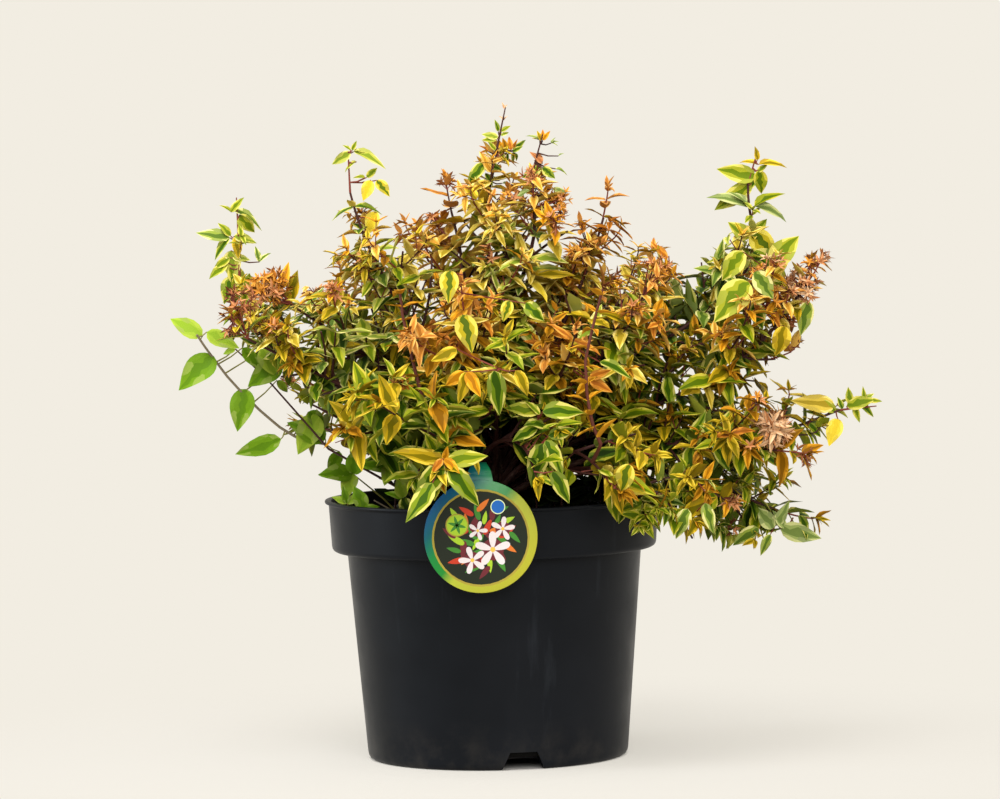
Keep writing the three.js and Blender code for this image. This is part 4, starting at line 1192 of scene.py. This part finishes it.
def has_room(limb, corners):
    """Whether every edge of a spray's blade keeps to the limb's own space, but for its root."""
    points = [start.lerp(end, share / 5) for index, start in enumerate(corners)
              for end in corners[index + 1:] for share in range(6)]
    away = np.array([point for point in points if (point - corners[0]).length >= SPRAY_ROOT])
    return bool(in_own_space(limb, away).all())


# Stem and boughs, with their bark

STEM_STEPS, BOUGH_STEPS = 40, 24
STEM_WOOD, BOUGH_WOOD = 0.9, 0.92      # the radius under the bark's relief, as a share of the solid's
RING_SPACING = 15 * MM


class Tube:
    """A round form along +Z from 0 to 1, to be swept along lines."""

    def __init__(self, sides, lengths):
        shape = bmesh.new()
        bmesh.ops.create_cone(shape, cap_ends=True, segments=sides, radius1=1, radius2=1, depth=1,
                              matrix=Matrix.Translation((0, 0, 0.5)))
        upright = [edge for edge in shape.edges if abs(edge.verts[0].co.z - edge.verts[1].co.z) > 0.5]
        bmesh.ops.subdivide_edges(shape, edges=upright, cuts=lengths - 1)
        self.form = Form(shape)
        self.lengths = lengths

    def swept(self, path, radii):
        """The form's places along a path of points, with a radius for each."""
        path, radii = np.asarray(path), np.asarray(radii)
        shares = np.linspace(0, 1, len(path))
        ways = np.gradient(path, axis=0)
        ways /= np.linalg.norm(ways, axis=1)[:, None]
        across = [np.cross(ways[0], (0, 0, 1) if abs(ways[0][2]) < 0.9 else (1, 0, 0))]
        for way in ways:
            side = across[-1] - way * (across[-1] @ way)
            across.append(side / np.linalg.norm(side))
        across = np.array(across[1:])
        upwards = np.cross(ways, across)
        at = self.form.places[:, 2]

        def taken(values):
            return np.stack([np.interp(at, shares, values[:, axis]) for axis in range(3)], axis=1)

        width = np.interp(at, shares, radii)[:, None]
        flat = self.form.places[:, :1] * taken(across) + self.form.places[:, 1:2] * taken(upwards)
        return taken(path) + flat * width


def barked(shape, tube, path, radii, seed):
    """Adds a limb with its bark's relief to a bmesh: lengthwise ridges, and a ring at each old node."""
    verts = []
    length = np.linalg.norm(np.diff(path, axis=0), axis=1).sum()
    smooth = tube.swept(path, radii)
    spine = tube.swept(path, np.zeros(len(path)))
    for place, middle, (x, y, share) in zip(smooth, spine, tube.form.places):
        azimuth = math.atan2(y, x)
        ridges = noise.fractal(Vector((math.cos(azimuth) * 2.2, math.sin(azimuth) * 2.2,
                                       share * length * 45 + seed)), 0.9, 2.1, 4)
        ring = math.exp(-((share * length / RING_SPACING) % 1 - 0.5) ** 2 / 0.004)
        out = place - middle
        verts.append(shape.verts.new(middle + out * (1 + 0.10 * ridges + 0.16 * ring)))
    shape.verts.index_update()
    flow = shape.loops.layers.uv.verify()
    for corners in tube.form.corners:
        face = shape.faces.new([verts[corner] for corner in corners])
        for loop, corner in zip(face.loops, corners):
            x, y, share = tube.form.places[corner]
            loop[flow].uv = (math.atan2(y, x) / math.tau * 0.02, share * length)


def stem_path(count):
    foot, top = np.array((0, 0, STEM_FOOT)), np.array((STEM_LEAN, 0, STEM_TOP))
    middle = np.array((0, 0, (STEM_FOOT + STEM_TOP) / 2))
    shares = np.linspace(0, 1, count)[:, None]
    return (1 - shares) ** 2 * foot + 2 * (1 - shares) * shares * middle + shares ** 2 * top


def make_limbs():
    shape = bmesh.new()
    tube = Tube(40, 60)
    height = STEM_TOP - STEM_FOOT
    shares = np.linspace(0, 1, STEM_STEPS)
    flare = np.clip(1 - shares * height / STEM_FLARE, 0, 1) ** 2
    radii = STEM_RADIUS + (STEM_FOOT_RADIUS - STEM_RADIUS) * flare - STEM_TAPER * shares
    barked(shape, tube, stem_path(STEM_STEPS), radii * STEM_WOOD, 1)
    bark = bark_finish()
    place_piece(smoothed(piece_from("stem_bark", shape, bark), 70), "bark", "stem")
    boughs = bmesh.new()
    tube = Tube(14, 44)
    for limb in LIMBS_GROWN:
        path = limb.points(0, BOUGH_SHARE, BOUGH_STEPS)
        radii = np.linspace(BOUGH_FOOT_RADIUS, BOUGH_TIP_RADIUS, BOUGH_STEPS) * BOUGH_WOOD
        barked(boughs, tube, path, radii, 10 + limb.index)
    nodes = ["bough_" + limb.name for limb in LIMBS_GROWN]
    place_piece(smoothed(piece_from("bough_bark", boughs, bark), 70), "bark", *nodes)


# Leaves

FEW_STATIONS = [0, 0.08, 0.22, 0.40, 0.60, 0.81, 1]
MANY_STATIONS = [0, 0.03, 0.08, 0.16, 0.26, 0.38, 0.50, 0.63, 0.76, 0.89, 1]


def half_width(share):
    """Half a leaf's width at a share of its length, as a share of its widest."""
    return share ** 0.6 * (1 - share) ** 1.1 / 0.332


def grid_blade(shape, columns, rows, place, material_of):
    """Adds a blade to a bmesh: a grid whose points and materials follow from column and row."""
    made = bmesh.ops.create_grid(shape, x_segments=columns, y_segments=rows, size=0.5)["verts"]
    for face in {face for vert in made for face in vert.link_faces}:
        face.material_index = material_of(int((face.calc_center_median().x + 0.5) * columns))
    for vert in made:
        vert.co = place(round((vert.co.x + 0.5) * columns), round((vert.co.y + 0.5) * rows))
    return made


def two_sided(columns, rows, above, part_above, below):
    """A blade as a form, with a back of its own, which is part 3."""
    shape = bmesh.new()
    grid_blade(shape, columns, rows, above, part_above)
    under = grid_blade(shape, 2, rows, below, lambda column: 3)
    bmesh.ops.reverse_faces(shape, faces=list({face for vert in under for face in vert.link_faces}))
    bmesh.ops.remove_doubles(shape, verts=shape.verts, dist=1e-5)
    return Form(shape)


def leaf_form(width, fold, arch, margin, seed, stations=FEW_STATIONS):
    """A leaf 1 long along +Y that faces +Z. Its parts are heart, flank, edge and back, 0 to 3."""
    draw = random.Random(seed)
    rows = len(stations) - 1
    lean = draw.uniform(-0.05, 0.05)
    flanks = [[clamp(1 - margin * draw.uniform(0.6, 1.5), 0.2, 0.92) for _ in stations] for _ in range(2)]
    hearts = [[flank * draw.uniform(0.15, 0.8) for flank in side] for side in flanks]

    def place(out, row, drop=0):
        share = stations[row]
        half = 0.5 * width * half_width(share)
        height = fold * half * abs(out) - arch * share ** 2 - drop
        wave = 0.03 * math.sin(share * 8 + seed) * (abs(out) == 1) * (0 < row < rows)
        return (out * half + lean * share ** 2, share * (1 - 0.35 * arch * share), height + wave)

    def above(column, row):
        right = column > 2
        side = (1, flanks[right][row], hearts[right][row])[min(column, 5 - column)]
        return place(side if right else -side, row)

    def below(column, row):
        return place(column - 1, row, 0.02 if column == 1 and 0 < row < rows else 0)

    return two_sided(5, rows, above, lambda column: (2, 1, 0, 1, 2)[column], below)


def sepal_form(arch, seed):
    """A narrow sepal 1 long along +Y that faces +Z."""
    halves = [0.05, 0.15, 0.12, 0]

    def place(column, row):
        share, out = row / 3, (column - 1) * halves[row]
        return (out, share, 0.25 * abs(out) - arch * share ** 2)

    def below(column, row):
        x, y, z = place(column, row)
        return (x, y, z - (0.03 if column == 1 and 0 < row < 3 else 0))

    return two_sided(2, 3, place, lambda column: (seed + column) % 2 + 1, below)


def varied_leaves(width, fold, arch, margin, first_seed):
    return [leaf_form(width + 0.03 * (seed % 3), fold + 0.2 * (seed % 2), arch + 0.09 * (seed % 4), margin,
                      first_seed + seed) for seed in range(10)]


YOUNG_LEAVES = varied_leaves(0.35, 0.2, 0.10, 0.36, 0)
OLD_LEAVES = varied_leaves(0.39, 0.15, 0.08, 0.30, 20)
ARCHED_LEAVES = [leaf_form(0.32, 0.5, 0.28 + 0.1 * seed, 0.36, 30 + seed) for seed in range(3)]
BROAD_LEAVES = [leaf_form(0.56, 0.25, 0.10 + 0.07 * seed, 0.36, 40 + seed, MANY_STATIONS)
                for seed in range(4)]
SEPALS = [sepal_form(0.1 + 0.12 * seed, seed) for seed in range(4)]
SHOOT_TUBE, TWIG_TUBE, STALK_TUBE = Tube(8, 24), Tube(6, 8), Tube(5, 4)
SHOOT_TONES = {"left_green": "grey twig", "left_spire": "red twig"}    # the others are brown
STALK_TONES = {"left_green": "green twig", "top_middle": "brown twig", "top_right": "brown twig"}  # or red


def skirt(x):
    """How low the leaves nearest the camera hang."""
    return [height for start, height in SKIRT if x / MM >= start][-1] * MM


def in_outline(point):
    """Whether a point is seen from the front within the crown's outline."""
    shrink = CAMERA_DISTANCE / (CAMERA_DISTANCE + point.y) / MM
    x, height = point.x * shrink, CAMERA_HEIGHT / MM + (point.z - CAMERA_HEIGHT) * shrink
    inside = False
    for (x1, z1), (x2, z2) in zip(CROWN_OUTLINE, CROWN_OUTLINE[1:] + CROWN_OUTLINE[:1]):
        if (z1 > height) != (z2 > height) and x < x1 + (height - z1) / (z2 - z1) * (x2 - x1):
            inside = not inside
    return inside


class Mass:
    """What grows on one limb's shoot, gathered by kind as it grows."""

    def __init__(self, limb):
        self.limb = limb
        self.draw = random.Random(1000 + limb.index)
        self.leader = False
        self.leaves, self.sepals, self.twigs = Joined(), Joined(), Joined()

    def scatter(self, spread):
        return Vector([self.draw.gauss(0, spread) for _ in range(3)])

    def tint(self, out, height, young=0.5):
        """The tint of a leaf so far out on its limb and on its own shoot, from 0 to 1, at this height, where
        higher up it more often takes the painted sunlit copy and lower down the painted shaded one.
        """
        if self.limb.green:
            return self.draw.choice(("plain", "plain", "pale plain"))
        if self.draw.random() < YELLOW_SHARE:
            return "yellow"
        low = LOW_WARMTH * clamp((GREEN_HEIGHT - height) / GREEN_REACH)
        turned_by = lerp(*OUTER_WARMTH, out) + lerp(*YOUNG_WARMTH, young) - low
        turned_by += self.draw.gauss(0, WARMTH_VARIES)
        step = round(clamp(self.limb.warmth + turned_by, 0, len(WARMTHS) - 1))
        # Painted light and shade by height: high leaves take the sunlit copy of their tint, low ones the
        # shaded copy
        light = clamp((height - SHADED_HEIGHT) / (SUNLIT_HEIGHT - SHADED_HEIGHT))
        return self.draw.choices(WARMTHS[step], (0.04 + 1.4 * light, 0.45, 1 - 0.95 * light))[0]

    def hidden(self, point):
        """Whether a leaf that reaches a point would lie in the pot or the label, or hang too low."""
        if near_pot_or_label(point, LEAF_CLEARANCE):
            return True
        before_label = abs(point.x - LABEL_X) < LABEL_RADIUS + 2 * MM and point.y < LABEL_FRONT
        if before_label and point.z < LABEL_Z + OPEN_LABEL[point.x >= LABEL_X]:
            return True
        if self.limb.green:
            return False
        too_low = point.y < 30 * MM and point.z < skirt(point.x)
        return too_low or not (self.leader or in_outline(point))

    def leaf(self, foot, along, face, length, tint, forms, free=False):
        """Sets down one leaf where there is room for it, or anyway where it is free."""
        middle = foot + along * (0.5 * length)
        face = (face - along * face.dot(along)).normalized()
        if not free:
            if self.hidden(foot + along * length) or self.hidden(middle):
                return
            # Painted shade: leaves low inside the crown take the deep shade tint
            inside = middle.y > SHADE_PAINT_FRONT and math.hypot(middle.x, middle.y) < SHADE_PAINT_RADIUS
            if inside and middle.z < SHADE_PAINT_HEIGHT:
                tint = "deep shade"
        basis = np.array([along.cross(face), along, face]) * length
        form = self.draw.choice(forms)
        kept = self.sepals if forms is SEPALS else self.leaves
        parts = [(tint, part) for part in LEAF_PARTS]
        kept.add(form.places @ basis + np.array(foot), form, parts)

    def pair(self, foot, along, turn, length, angle, tint, forms=None, droop=0.45):
        """Two leaves across a shoot from each other, which turn their faces up and droop a little."""
        if forms is None:
            forms = YOUNG_LEAVES if length < 0.7 * LEAF_LONGEST else OLD_LEAVES
        for side in (0, 180):
            spread = angle + self.draw.uniform(-12, 12)
            way = branching(along, spread, turn + side + self.draw.uniform(-14, 14))
            way = (way - UP * self.draw.uniform(0.0, droop)).normalized()
            face = along * 0.7 + UP * 0.9 + self.scatter(0.25)
            self.leaf(foot, way, face, length * self.draw.uniform(0.82, 1.15), tint, forms)

    def twig(self, path, foot_radius, tip_radius, tone, tube=STALK_TUBE):
        """Sets down a twig with its radii in mm."""
        radii = np.linspace(foot_radius * MM, tip_radius * MM, len(path))
        self.twigs.add(tube.swept(path, radii), tube.form, (tone,))

    def stalk(self, foot, end, foot_radius, tip_radius, tone, bend=Vector((0, 0, 0)), at=0.5):
        """A twig through one more point on the way, which may lie beside it."""
        self.twig([foot, foot.lerp(end, at) + bend, end], foot_radius, tip_radius, tone)

    def cluster(self, tip, along, size=1, head_tints=()):
        """Spent blossom: a few stars of narrow sepals on short stalks."""
        pale = ("faded", "spent") if tip.x > 150 * MM else ("spent", "deep rust")
        tints = self.draw.choice((("spent", "dark spent"), ("spent", "rust"), pale))
        tints = head_tints or tints
        for _ in range(self.draw.randint(7, 11)):
            way = (along + self.scatter(0.8)).normalized()
            foot = tip - along * self.draw.uniform(0, 7) * MM
            end = foot + way * self.draw.uniform(2, 7) * MM
            self.stalk(foot, end, 0.4, 0.3, "red twig")
            first, tint = self.draw.uniform(0, 72), self.draw.choice(tints)
            for sepal in range(5):
                spread = branching(way, self.draw.uniform(20, 60), first + sepal * 72)
                length = SEPAL_LENGTH * size * self.draw.uniform(0.7, 1.35)
                self.leaf(end, spread, way, length, tint, SEPALS, bool(head_tints))

    def grown(self, height):
        """How large the limb's leaves get at a height."""
        share = clamp((height - BIG_LEAF_HEIGHT) / (SMALL_LEAF_HEIGHT - BIG_LEAF_HEIGHT))
        return lerp(1, SMALL_LEAF, share) * self.limb.size

    def spray(self, foot, along, reach, out, fill):
        """A thin shoot with pairs of leaves and a tuft at its tip, as long as the blade it stands for."""
        tint = self.tint(out, foot.z, 0.9)
        rise = (0.25, 0.85) if self.limb.pitch > 10 else (-0.05, 0.35)
        bent = (along + UP * self.draw.uniform(*rise)).normalized()
        length = fill * reach
        path = [foot.lerp(foot + along * length, share).lerp(foot + bent * length, share)
                for share in (0, 0.33, 0.67, 1)]
        tone = "green twig" if "lime" in tint else self.draw.choice(("brown twig", "red twig"))
        tip = path[-1]
        if self.hidden(tip):
            return
        self.twig(path, 0.7, 0.45, tone)
        grown = self.grown(foot.z)
        pairs = max(2, round(length / (LEAF_SPACING * grown)))
        first_turn = self.draw.uniform(0, 180)
        for pair in range(pairs):
            share = (pair + 0.6) / pairs
            size = lerp(LEAF_LONGEST, LEAF_SHORTEST, share * 0.85) * grown * self.draw.uniform(0.85, 1.12)
            kept = self.tint(out, foot.z, share)
            place = foot.lerp(tip, share)
            self.pair(place, bent, first_turn + PAIR_TURN * pair, size, PAIR_ANGLE, kept)
            if 0 < pair < pairs - 1 and self.draw.random() < SIDE_SHOOTS:
                turn = first_turn + PAIR_TURN * (pair + 1)
                self.side_shoot(place, bent, turn, grown, self.tint(out, foot.z, 0.75))
        self.pair(tip, bent, first_turn + 45, 0.6 * LEAF_SHORTEST * grown, 34, tint)
        if out == 1:
            self.pair(tip, bent, first_turn, 0.8 * LEAF_SHORTEST * grown, 16, tint, droop=0)
        if self.draw.random() < self.limb.flowers * lerp(0.1, 1, out):
            self.cluster(tip, bent)
        else:
            self.pair(tip, bent, first_turn + 135, 0.8 * LEAF_SHORTEST * grown, 44, self.tint(out, foot.z, 1))

    def side_shoot(self, foot, along, turn, grown, tint):
        """A short shoot with small leaves in the fork of a pair."""
        fork = branching(along, SIDE_SHOOT_ANGLE, turn + self.draw.uniform(-25, 25))
        way = (fork + UP * 0.2).normalized()
        end = foot + way * self.draw.uniform(9, 17) * MM
        self.stalk(foot, end, 0.45, 0.35, "red twig")
        first_turn = self.draw.uniform(0, 180)
        for pair, (share, size, angle) in enumerate(((0.55, 1, 60), (1, 0.85, 50), (1, 0.55, 30))):
            self.pair(foot.lerp(end, share), way, first_turn + pair * PAIR_TURN, size * LEAF_SHORTEST * grown,
                      angle, tint)

    def shade_twigs(self):
        """Short twigs with leaves on the bough, which close the inside of the crown; their leaves are painted
        darker as shade where they sit low or inside it.
        """
        for node in range(INNER_TWIGS):
            share = lerp(0.08, BOUGH_SHARE + 0.4, (node + self.draw.random()) / INNER_TWIGS)
            foot, ahead = [Vector(point) for point in self.limb.points(share, share + 0.02, 2)]
            along = (ahead - foot).normalized()
            way = (branching(along, 60, self.draw.uniform(0, 360)) + UP * 0.35).normalized()
            end = foot + way * self.draw.uniform(*INNER_TWIG_LENGTH)
            if self.hidden(end):
                continue
            self.stalk(foot, end, 0.9, 0.6, "brown twig")
            for pair, at in enumerate((0.45, 0.7, 1)):
                size = LEAF_LONGEST * self.grown(foot.z)
                self.pair(foot.lerp(end, at), way, pair * PAIR_TURN, size, PAIR_ANGLE,
                          self.tint(0.55, end.z, 0.4))

    def inner_shoots(self):
        """Short shoots that come up from the compost behind the stem, their leaves painted deep shade as the
        shadow there.
        """
        for _ in range(INNER_SHOOTS):
            out = turned(RIGHT, UP, self.draw.uniform(5, 175)) * self.draw.uniform(35, 82) * MM
            foot = out + UP * (COMPOST_TOP - 2 * MM)
            end = foot * 0.97 + UP * self.draw.uniform(34, 62) * MM
            self.stalk(foot, end, 0.9, 0.5, "brown twig")
            for pair, at in enumerate((0.2, 0.4, 0.6, 0.8, 1)):
                for side in (0, 180):
                    turn = pair * 75 + side + self.draw.uniform(-20, 20)
                    way = branching((end - foot).normalized(), 62, turn)
                    face = UP + Vector((0, -0.8, 0)) + self.scatter(0.3)
                    length = self.draw.uniform(17, 25) * MM
                    self.leaf(foot.lerp(end, at), way, face, length, "deep shade", OLD_LEAVES, True)

    def clear(self, point):
        """Whether a point is where the limb's leaves are placed one by one."""
        x, height = CLEAR_FROM.get(self.limb.name, (400, 0))
        return point.x > x * MM and point.z > height * MM

    def placed(self):
        """Sets down the leaves that are placed one by one, on stalks from the nearest point of the line."""
        tip = self.limb.tip
        tip = seen_at(tip.x / MM, tip.z / MM - 2, tip.y)
        line = self.line()
        if not self.limb.green:
            line += [line[-1].lerp(tip, share) for share in (0.25, 0.5, 0.75, 1)]
        kinds = {"broad": BROAD_LEAVES, "leaf": OLD_LEAVES, "narrow": ARCHED_LEAVES}
        tone = STALK_TONES.get(self.limb.name, "red twig")
        if self.clear(tip) and not self.limb.green:
            self.twig(line[-5:], SHOOT_TIP_RADIUS / MM, 0.4, tone, TWIG_TUBE)
        for foot_x, foot_z, tip_x, tip_z, kind, tint, *forwards in PLACED_LEAVES.get(self.limb.name, ()):
            root = self.nearest(line, foot_x, foot_z)
            foot = seen_at(foot_x, foot_z, root.y - sum(forwards) * MM)
            gap = (foot - root).length
            if gap > 1.5 * MM:
                behind = Vector((0, 0.7 * max(0, gap - 12 * MM), -MM))
                self.stalk(root, foot, 0.6, 0.4, tone, behind)
            way = seen_at(tip_x, tip_z, foot.y) - foot
            way.y = self.draw.uniform(-0.4, 0.25) * way.length
            face = Vector((0, -0.5, 0.6)) if kind == "narrow" else Vector((0, -1, 0.3))
            self.leaf(foot, way.normalized(), face + self.scatter(0.15), way.length, tint, kinds[kind], True)

    @staticmethod
    def nearest(line, x, height):
        """The point of a line that is seen nearest to this x and height in mm, rather one near its end."""
        return min(line, key=lambda point: (seen_at(x, height, point.y) - point).length
                   + 0.2 * abs(point.y - line[-1].y))

    def shown_stem(self):
        """A bare stem in front of the leaves, from the nearest point of the limb's line."""
        places = SHOWN_STEMS[self.limb.name]
        rows = [seen_at(x, height, self.limb.tip.y + 16 * MM) for x, height in places]
        root = self.nearest(self.line(), *places[0])
        self.twig([root, root.lerp(rows[0], 0.5)] + rows, 1.5, 0.9, "dark red twig", SHOOT_TUBE)
        for node, (low, high) in enumerate(zip(rows, rows[1:])):
            for at in (0.3, 0.8):
                size = self.draw.uniform(0.5, 0.75) * LEAF_LONGEST
                self.pair(low.lerp(high, at), (high - low).normalized(), 140 * node + 170 * at, size, 62,
                          "bronze")

    def line(self):
        """The middle line of the limb's shoot, fine enough to find its nearest point to a leaf."""
        if not self.limb.green:
            return [Vector(point) for point in self.limb.points(BOUGH_SHARE, 1, LINE_STEPS)]
        foot = self.limb.point(BOUGH_SHARE)
        depths = np.linspace(foot.y, self.limb.tip.y, len(GREEN_SHOOT))
        rows = [foot] + [seen_at(*place, depth) for place, depth in zip(GREEN_SHOOT, depths)]
        places = np.linspace(0, len(rows) - 1, LINE_STEPS)
        line = [np.interp(places, range(len(rows)), values) for values in np.array(rows).T]
        return [Vector(point) for point in zip(*line)]

    def blossom_head(self):
        """A head of spent blossom, of several clusters close together."""
        x, height, size, tints = BLOSSOM_HEADS[self.limb.name]
        root = self.nearest(self.line(), x, height)
        middle = seen_at(x, height, root.y - 4 * MM)
        for _ in range(min(6, round(6 * size))):
            end = middle + self.scatter(6 * MM * min(size, 1))
            self.stalk(root, end, 0.6, 0.45, "red twig", -UP * MM, 0.6)
            self.cluster(end, (end - middle + Vector((0, -4, 3)) * MM).normalized(), size, tints)

    def basal_shoots(self):
        """Weak shoots that come up from the compost at the left and lean on the rim."""
        for foot, tip, tone, leaves in BASAL_SHOOTS:
            foot, tip = Vector(foot) * MM, Vector(tip) * MM
            self.stalk(foot, tip, 0.8, 0.5, tone, UP * 2 * MM)
            for way, length, tint in leaves:
                way = Vector(way).normalized()
                forms = BROAD_LEAVES if length > 16 else OLD_LEAVES
                self.leaf(tip, way, Vector((0, -1, 0.6)), length * MM, tint, forms, True)


def grow(limb):
    """Everything on one limb's shoot, by the rule of the frame's solids and carried on to leaves."""
    mass = Mass(limb)
    stretch = (1 - BOUGH_SHARE) * limb.length

    def add_spray(foot, along, size, out, fill=SPRAY_FILL):
        for share in SPRAY_TRIES:
            reach = SPRAY_LENGTH * size * share
            if has_room(limb, spray_corners(foot, along, reach)):
                if out == 1 or mass.draw.random() < limb.fullness:
                    mass.spray(foot, along, reach, out, fill)
                return

    def add_pair(foot, along, turn, size, out):
        for side in (0, 180):
            add_spray(foot, branching(along, SPRAY_ANGLE, turn + side), size, out)

    def add_twig(foot, along, turn, longest, twig, out):
        outwards = (branching(along, TWIG_ANGLE, turn) + UP * TWIG_RISE).normalized()
        for share in TWIG_TRIES:
            length = longest * share
            points = np.array([foot + outwards * (length * step / 6) for step in range(1, 7)])
            if in_own_space(limb, points).all() and not mass.hidden(foot + outwards * length):
                break
        else:
            return
        end = foot + outwards * length
        sag = branching(outwards, 90, turn) * (0.04 * length)
        path = [foot.lerp(end, at) + sag * math.sin(math.pi * at) for at in np.linspace(0, 1, 7)]
        mass.twig(path, 1.1, 0.7, "brown twig", TWIG_TUBE)
        pairs = max(1, round(length / SPRAY_SPACING) - 1)
        for pair in range(pairs):
            size = lerp(*SPRAY_VARIES, chance(limb.index, twig, 3 + pair))
            turn = PAIR_TURN * pair + TURN_VARIES * chance(limb.index, twig, 8 + pair)
            at = (pair + FIRST_PAIR) / (pairs + PAIRS_PAST)
            add_pair(foot.lerp(end, at), outwards, turn, size, lerp(out, 1, 0.6 * at))
            mass.pair(foot.lerp(end, at * 0.6), outwards, turn + 90, 0.75 * LEAF_LONGEST, 60,
                      mass.tint(out, foot.z, -0.3))
        add_spray(end - outwards * TIP_SUNK, outwards, TWIG_TIP_SPRAY, lerp(out, 1, 0.7))

    tone = SHOOT_TONES.get(limb.name, "brown twig")
    path = mass.line() if limb.green else limb.points(BOUGH_SHARE, 1, 16)
    thin = 0.45 if limb.green else BOUGH_WOOD
    mass.twig(path, BOUGH_TIP_RADIUS * thin / MM, SHOOT_TIP_RADIUS / MM, tone, SHOOT_TUBE)
    if limb.green:
        mass.placed()
        second = [seen_at(*place, limb.point(0.5).y) for place in GREEN_TWIG]
        mass.twig(second, 0.9, 0.5, "brown twig", TWIG_TUBE)
        mass.basal_shoots()
        return mass
    mass.shade_twigs()
    nodes = max(LEAST_NODES, round(stretch / NODE_SPACING))
    for node in range(nodes):
        share = (node + FIRST_NODE) / (nodes + NODES_PAST)
        foot, along = limb.point(share), limb.along(share)
        turn = node * GOLDEN_ANGLE + TURN_VARIES * chance(limb.index, node, 1)
        mass.leader = share * stretch >= stretch - limb.spire and limb.spire > LONG_SPIRE
        if mass.clear(foot):
            if node % 2:
                mass.side_shoot(foot, along, turn, 0.8, "gold" if limb.name.startswith("top") else "lime")
        elif share * stretch < stretch - limb.spire:
            usual = lerp(TWIG_LONGEST, TWIG_SHORTEST, share)
            length = usual * lerp(*TWIG_VARIES, chance(limb.index, node, 2))
            add_twig(foot, along, turn, length, node, share)
            add_spray(foot, branching(along, SPRAY_ANGLE, turn + 180), 1, share)
            size = LEAF_LONGEST * limb.size * lerp(1.1, 0.75, share)
            mass.pair(foot, along, turn + 90, size, 66, mass.tint(share * 0.8, foot.z, -0.5), OLD_LEAVES)
        else:
            if node < nodes - 1:
                add_pair(foot, along, PAIR_TURN * node, lerp(0.9, 0.6, share), share)
            else:
                mass.pair(foot, along, PAIR_TURN * node, 0.6 * LEAF_LONGEST, 50,
                          mass.tint(share, foot.z, 0.4))
            size = LEAF_LONGEST * lerp(1, 0.75, share)
            mass.pair(foot, along, PAIR_TURN * node + 90, size, 62, mass.tint(share, foot.z, -0.2), droop=0.7)
    mass.leader, tipwards = True, limb.along(1)
    if not mass.clear(limb.tip):
        add_spray(limb.point(1) - tipwards * TIP_SUNK, tipwards, TIP_SPRAY, 1, 0.8)
    mass.placed()
    if limb.name == "back_middle":
        mass.inner_shoots()
    if limb.name in SHOWN_STEMS:
        mass.shown_stem()
    if limb.name in BLOSSOM_HEADS:
        mass.blossom_head()
    return mass


def make_foliage():
    for limb in LIMBS_GROWN:
        mass = grow(limb)
        slot = "green_leaf" if limb.green else "variegated_leaf"
        place_piece(mass.leaves.piece("leaves_" + limb.name, LEAF_FINISHES), slot, "foliage_" + limb.name)
        place_piece(mass.twigs.piece("twigs_" + limb.name, TWIG_FINISHES), "bark")
        if mass.sepals.count:
            place_piece(mass.sepals.piece("blossom_" + limb.name, LEAF_FINISHES), slot)


# Floor, light and camera

def make_stage():
    world = bpy.data.worlds.new("studio")
    world.use_nodes = True
    world.node_tree.nodes["Background"].inputs["Color"].default_value = linear(*BACKDROP)
    bpy.context.scene.world = world
    bpy.context.scene.view_settings.view_transform = "Standard"

    floor = bmesh.new()
    bmesh.ops.create_circle(floor, cap_ends=True, segments=64, radius=FLOOR_RADIUS)
    sheet = Pattern("floor", 0.9, specular_ior_level=0)
    out = sheet.node("VectorMath", Vector=sheet.place)
    out.operation = "LENGTH"
    radius = out.outputs["Value"]
    past_pot = sheet.between(radius, BODY_FOOT_RADIUS - FLOOR_SHADE, BODY_FOOT_RADIUS)
    faded = sheet.between(radius, FLOOR_FADES[0], FLOOR_RADIUS, FLOOR_FADES[1], 1)
    sheet.use(linear(*FLOOR_COLOUR))
    fade = sheet.node("MixShader", Fac=sheet.maths("MULTIPLY", past_pot, faded))
    sheet.feed(fade.inputs[1], sheet.shader.outputs[0])
    sheet.feed(fade.inputs[2], sheet.node("BsdfTransparent").outputs[0])
    sheet.feed(sheet.tree.nodes["Material Output"].inputs[0], fade.outputs[0])
    ground = piece_from("floor", floor, sheet.material)
    bpy.context.scene.collection.objects.link(ground)


def make_light(name, place, width, height, power, colour=(1, 1, 1)):
    lamp = bpy.data.lights.new(name, "AREA")
    lamp.shape, lamp.size, lamp.size_y, lamp.energy = "RECTANGLE", width, height, power
    lamp.color = colour
    light = bpy.data.objects.new(name, lamp)
    light.location = place
    light.rotation_mode = "QUATERNION"
    light.rotation_quaternion = (Vector((0, 0, 0.24)) - Vector(place)).to_track_quat("-Z", "Y")
    light.visible_camera = False
    bpy.context.scene.collection.objects.link(light)


def make_camera():
    lens = bpy.data.cameras.new("camera")
    lens.lens = CAMERA_LENS
    camera = bpy.data.objects.new("camera", lens)
    camera.location = (0, -CAMERA_DISTANCE, CAMERA_HEIGHT)
    camera.rotation_mode = "QUATERNION"
    look = (AIM - camera.location).to_track_quat("-Z", "Y")
    camera.rotation_quaternion = look @ Quaternion((0, 0, 1), radians(-CAMERA_ROLL))
    bpy.context.scene.collection.objects.link(camera)
    bpy.context.scene.camera = camera


make_stage()
make_light("key", (-0.4, -1.1, 2.2), 1.1, 1.1, 55)
make_light("front fill", (0.3, -2.8, 1.3), 1.8, 1.2, 68)
make_light("left softbox", (-1.7, -0.2, 0.5), 0.5, 1.1, 24, (0.84, 0.93, 1))
make_light("right softbox", (1.6, -0.7, 0.5), 0.4, 1.1, 5, (1, 0.97, 0.9))
for make in (make_camera, make_pot, make_compost, make_crumbs, make_label, make_print, make_limbs,
             make_foliage):
    make()
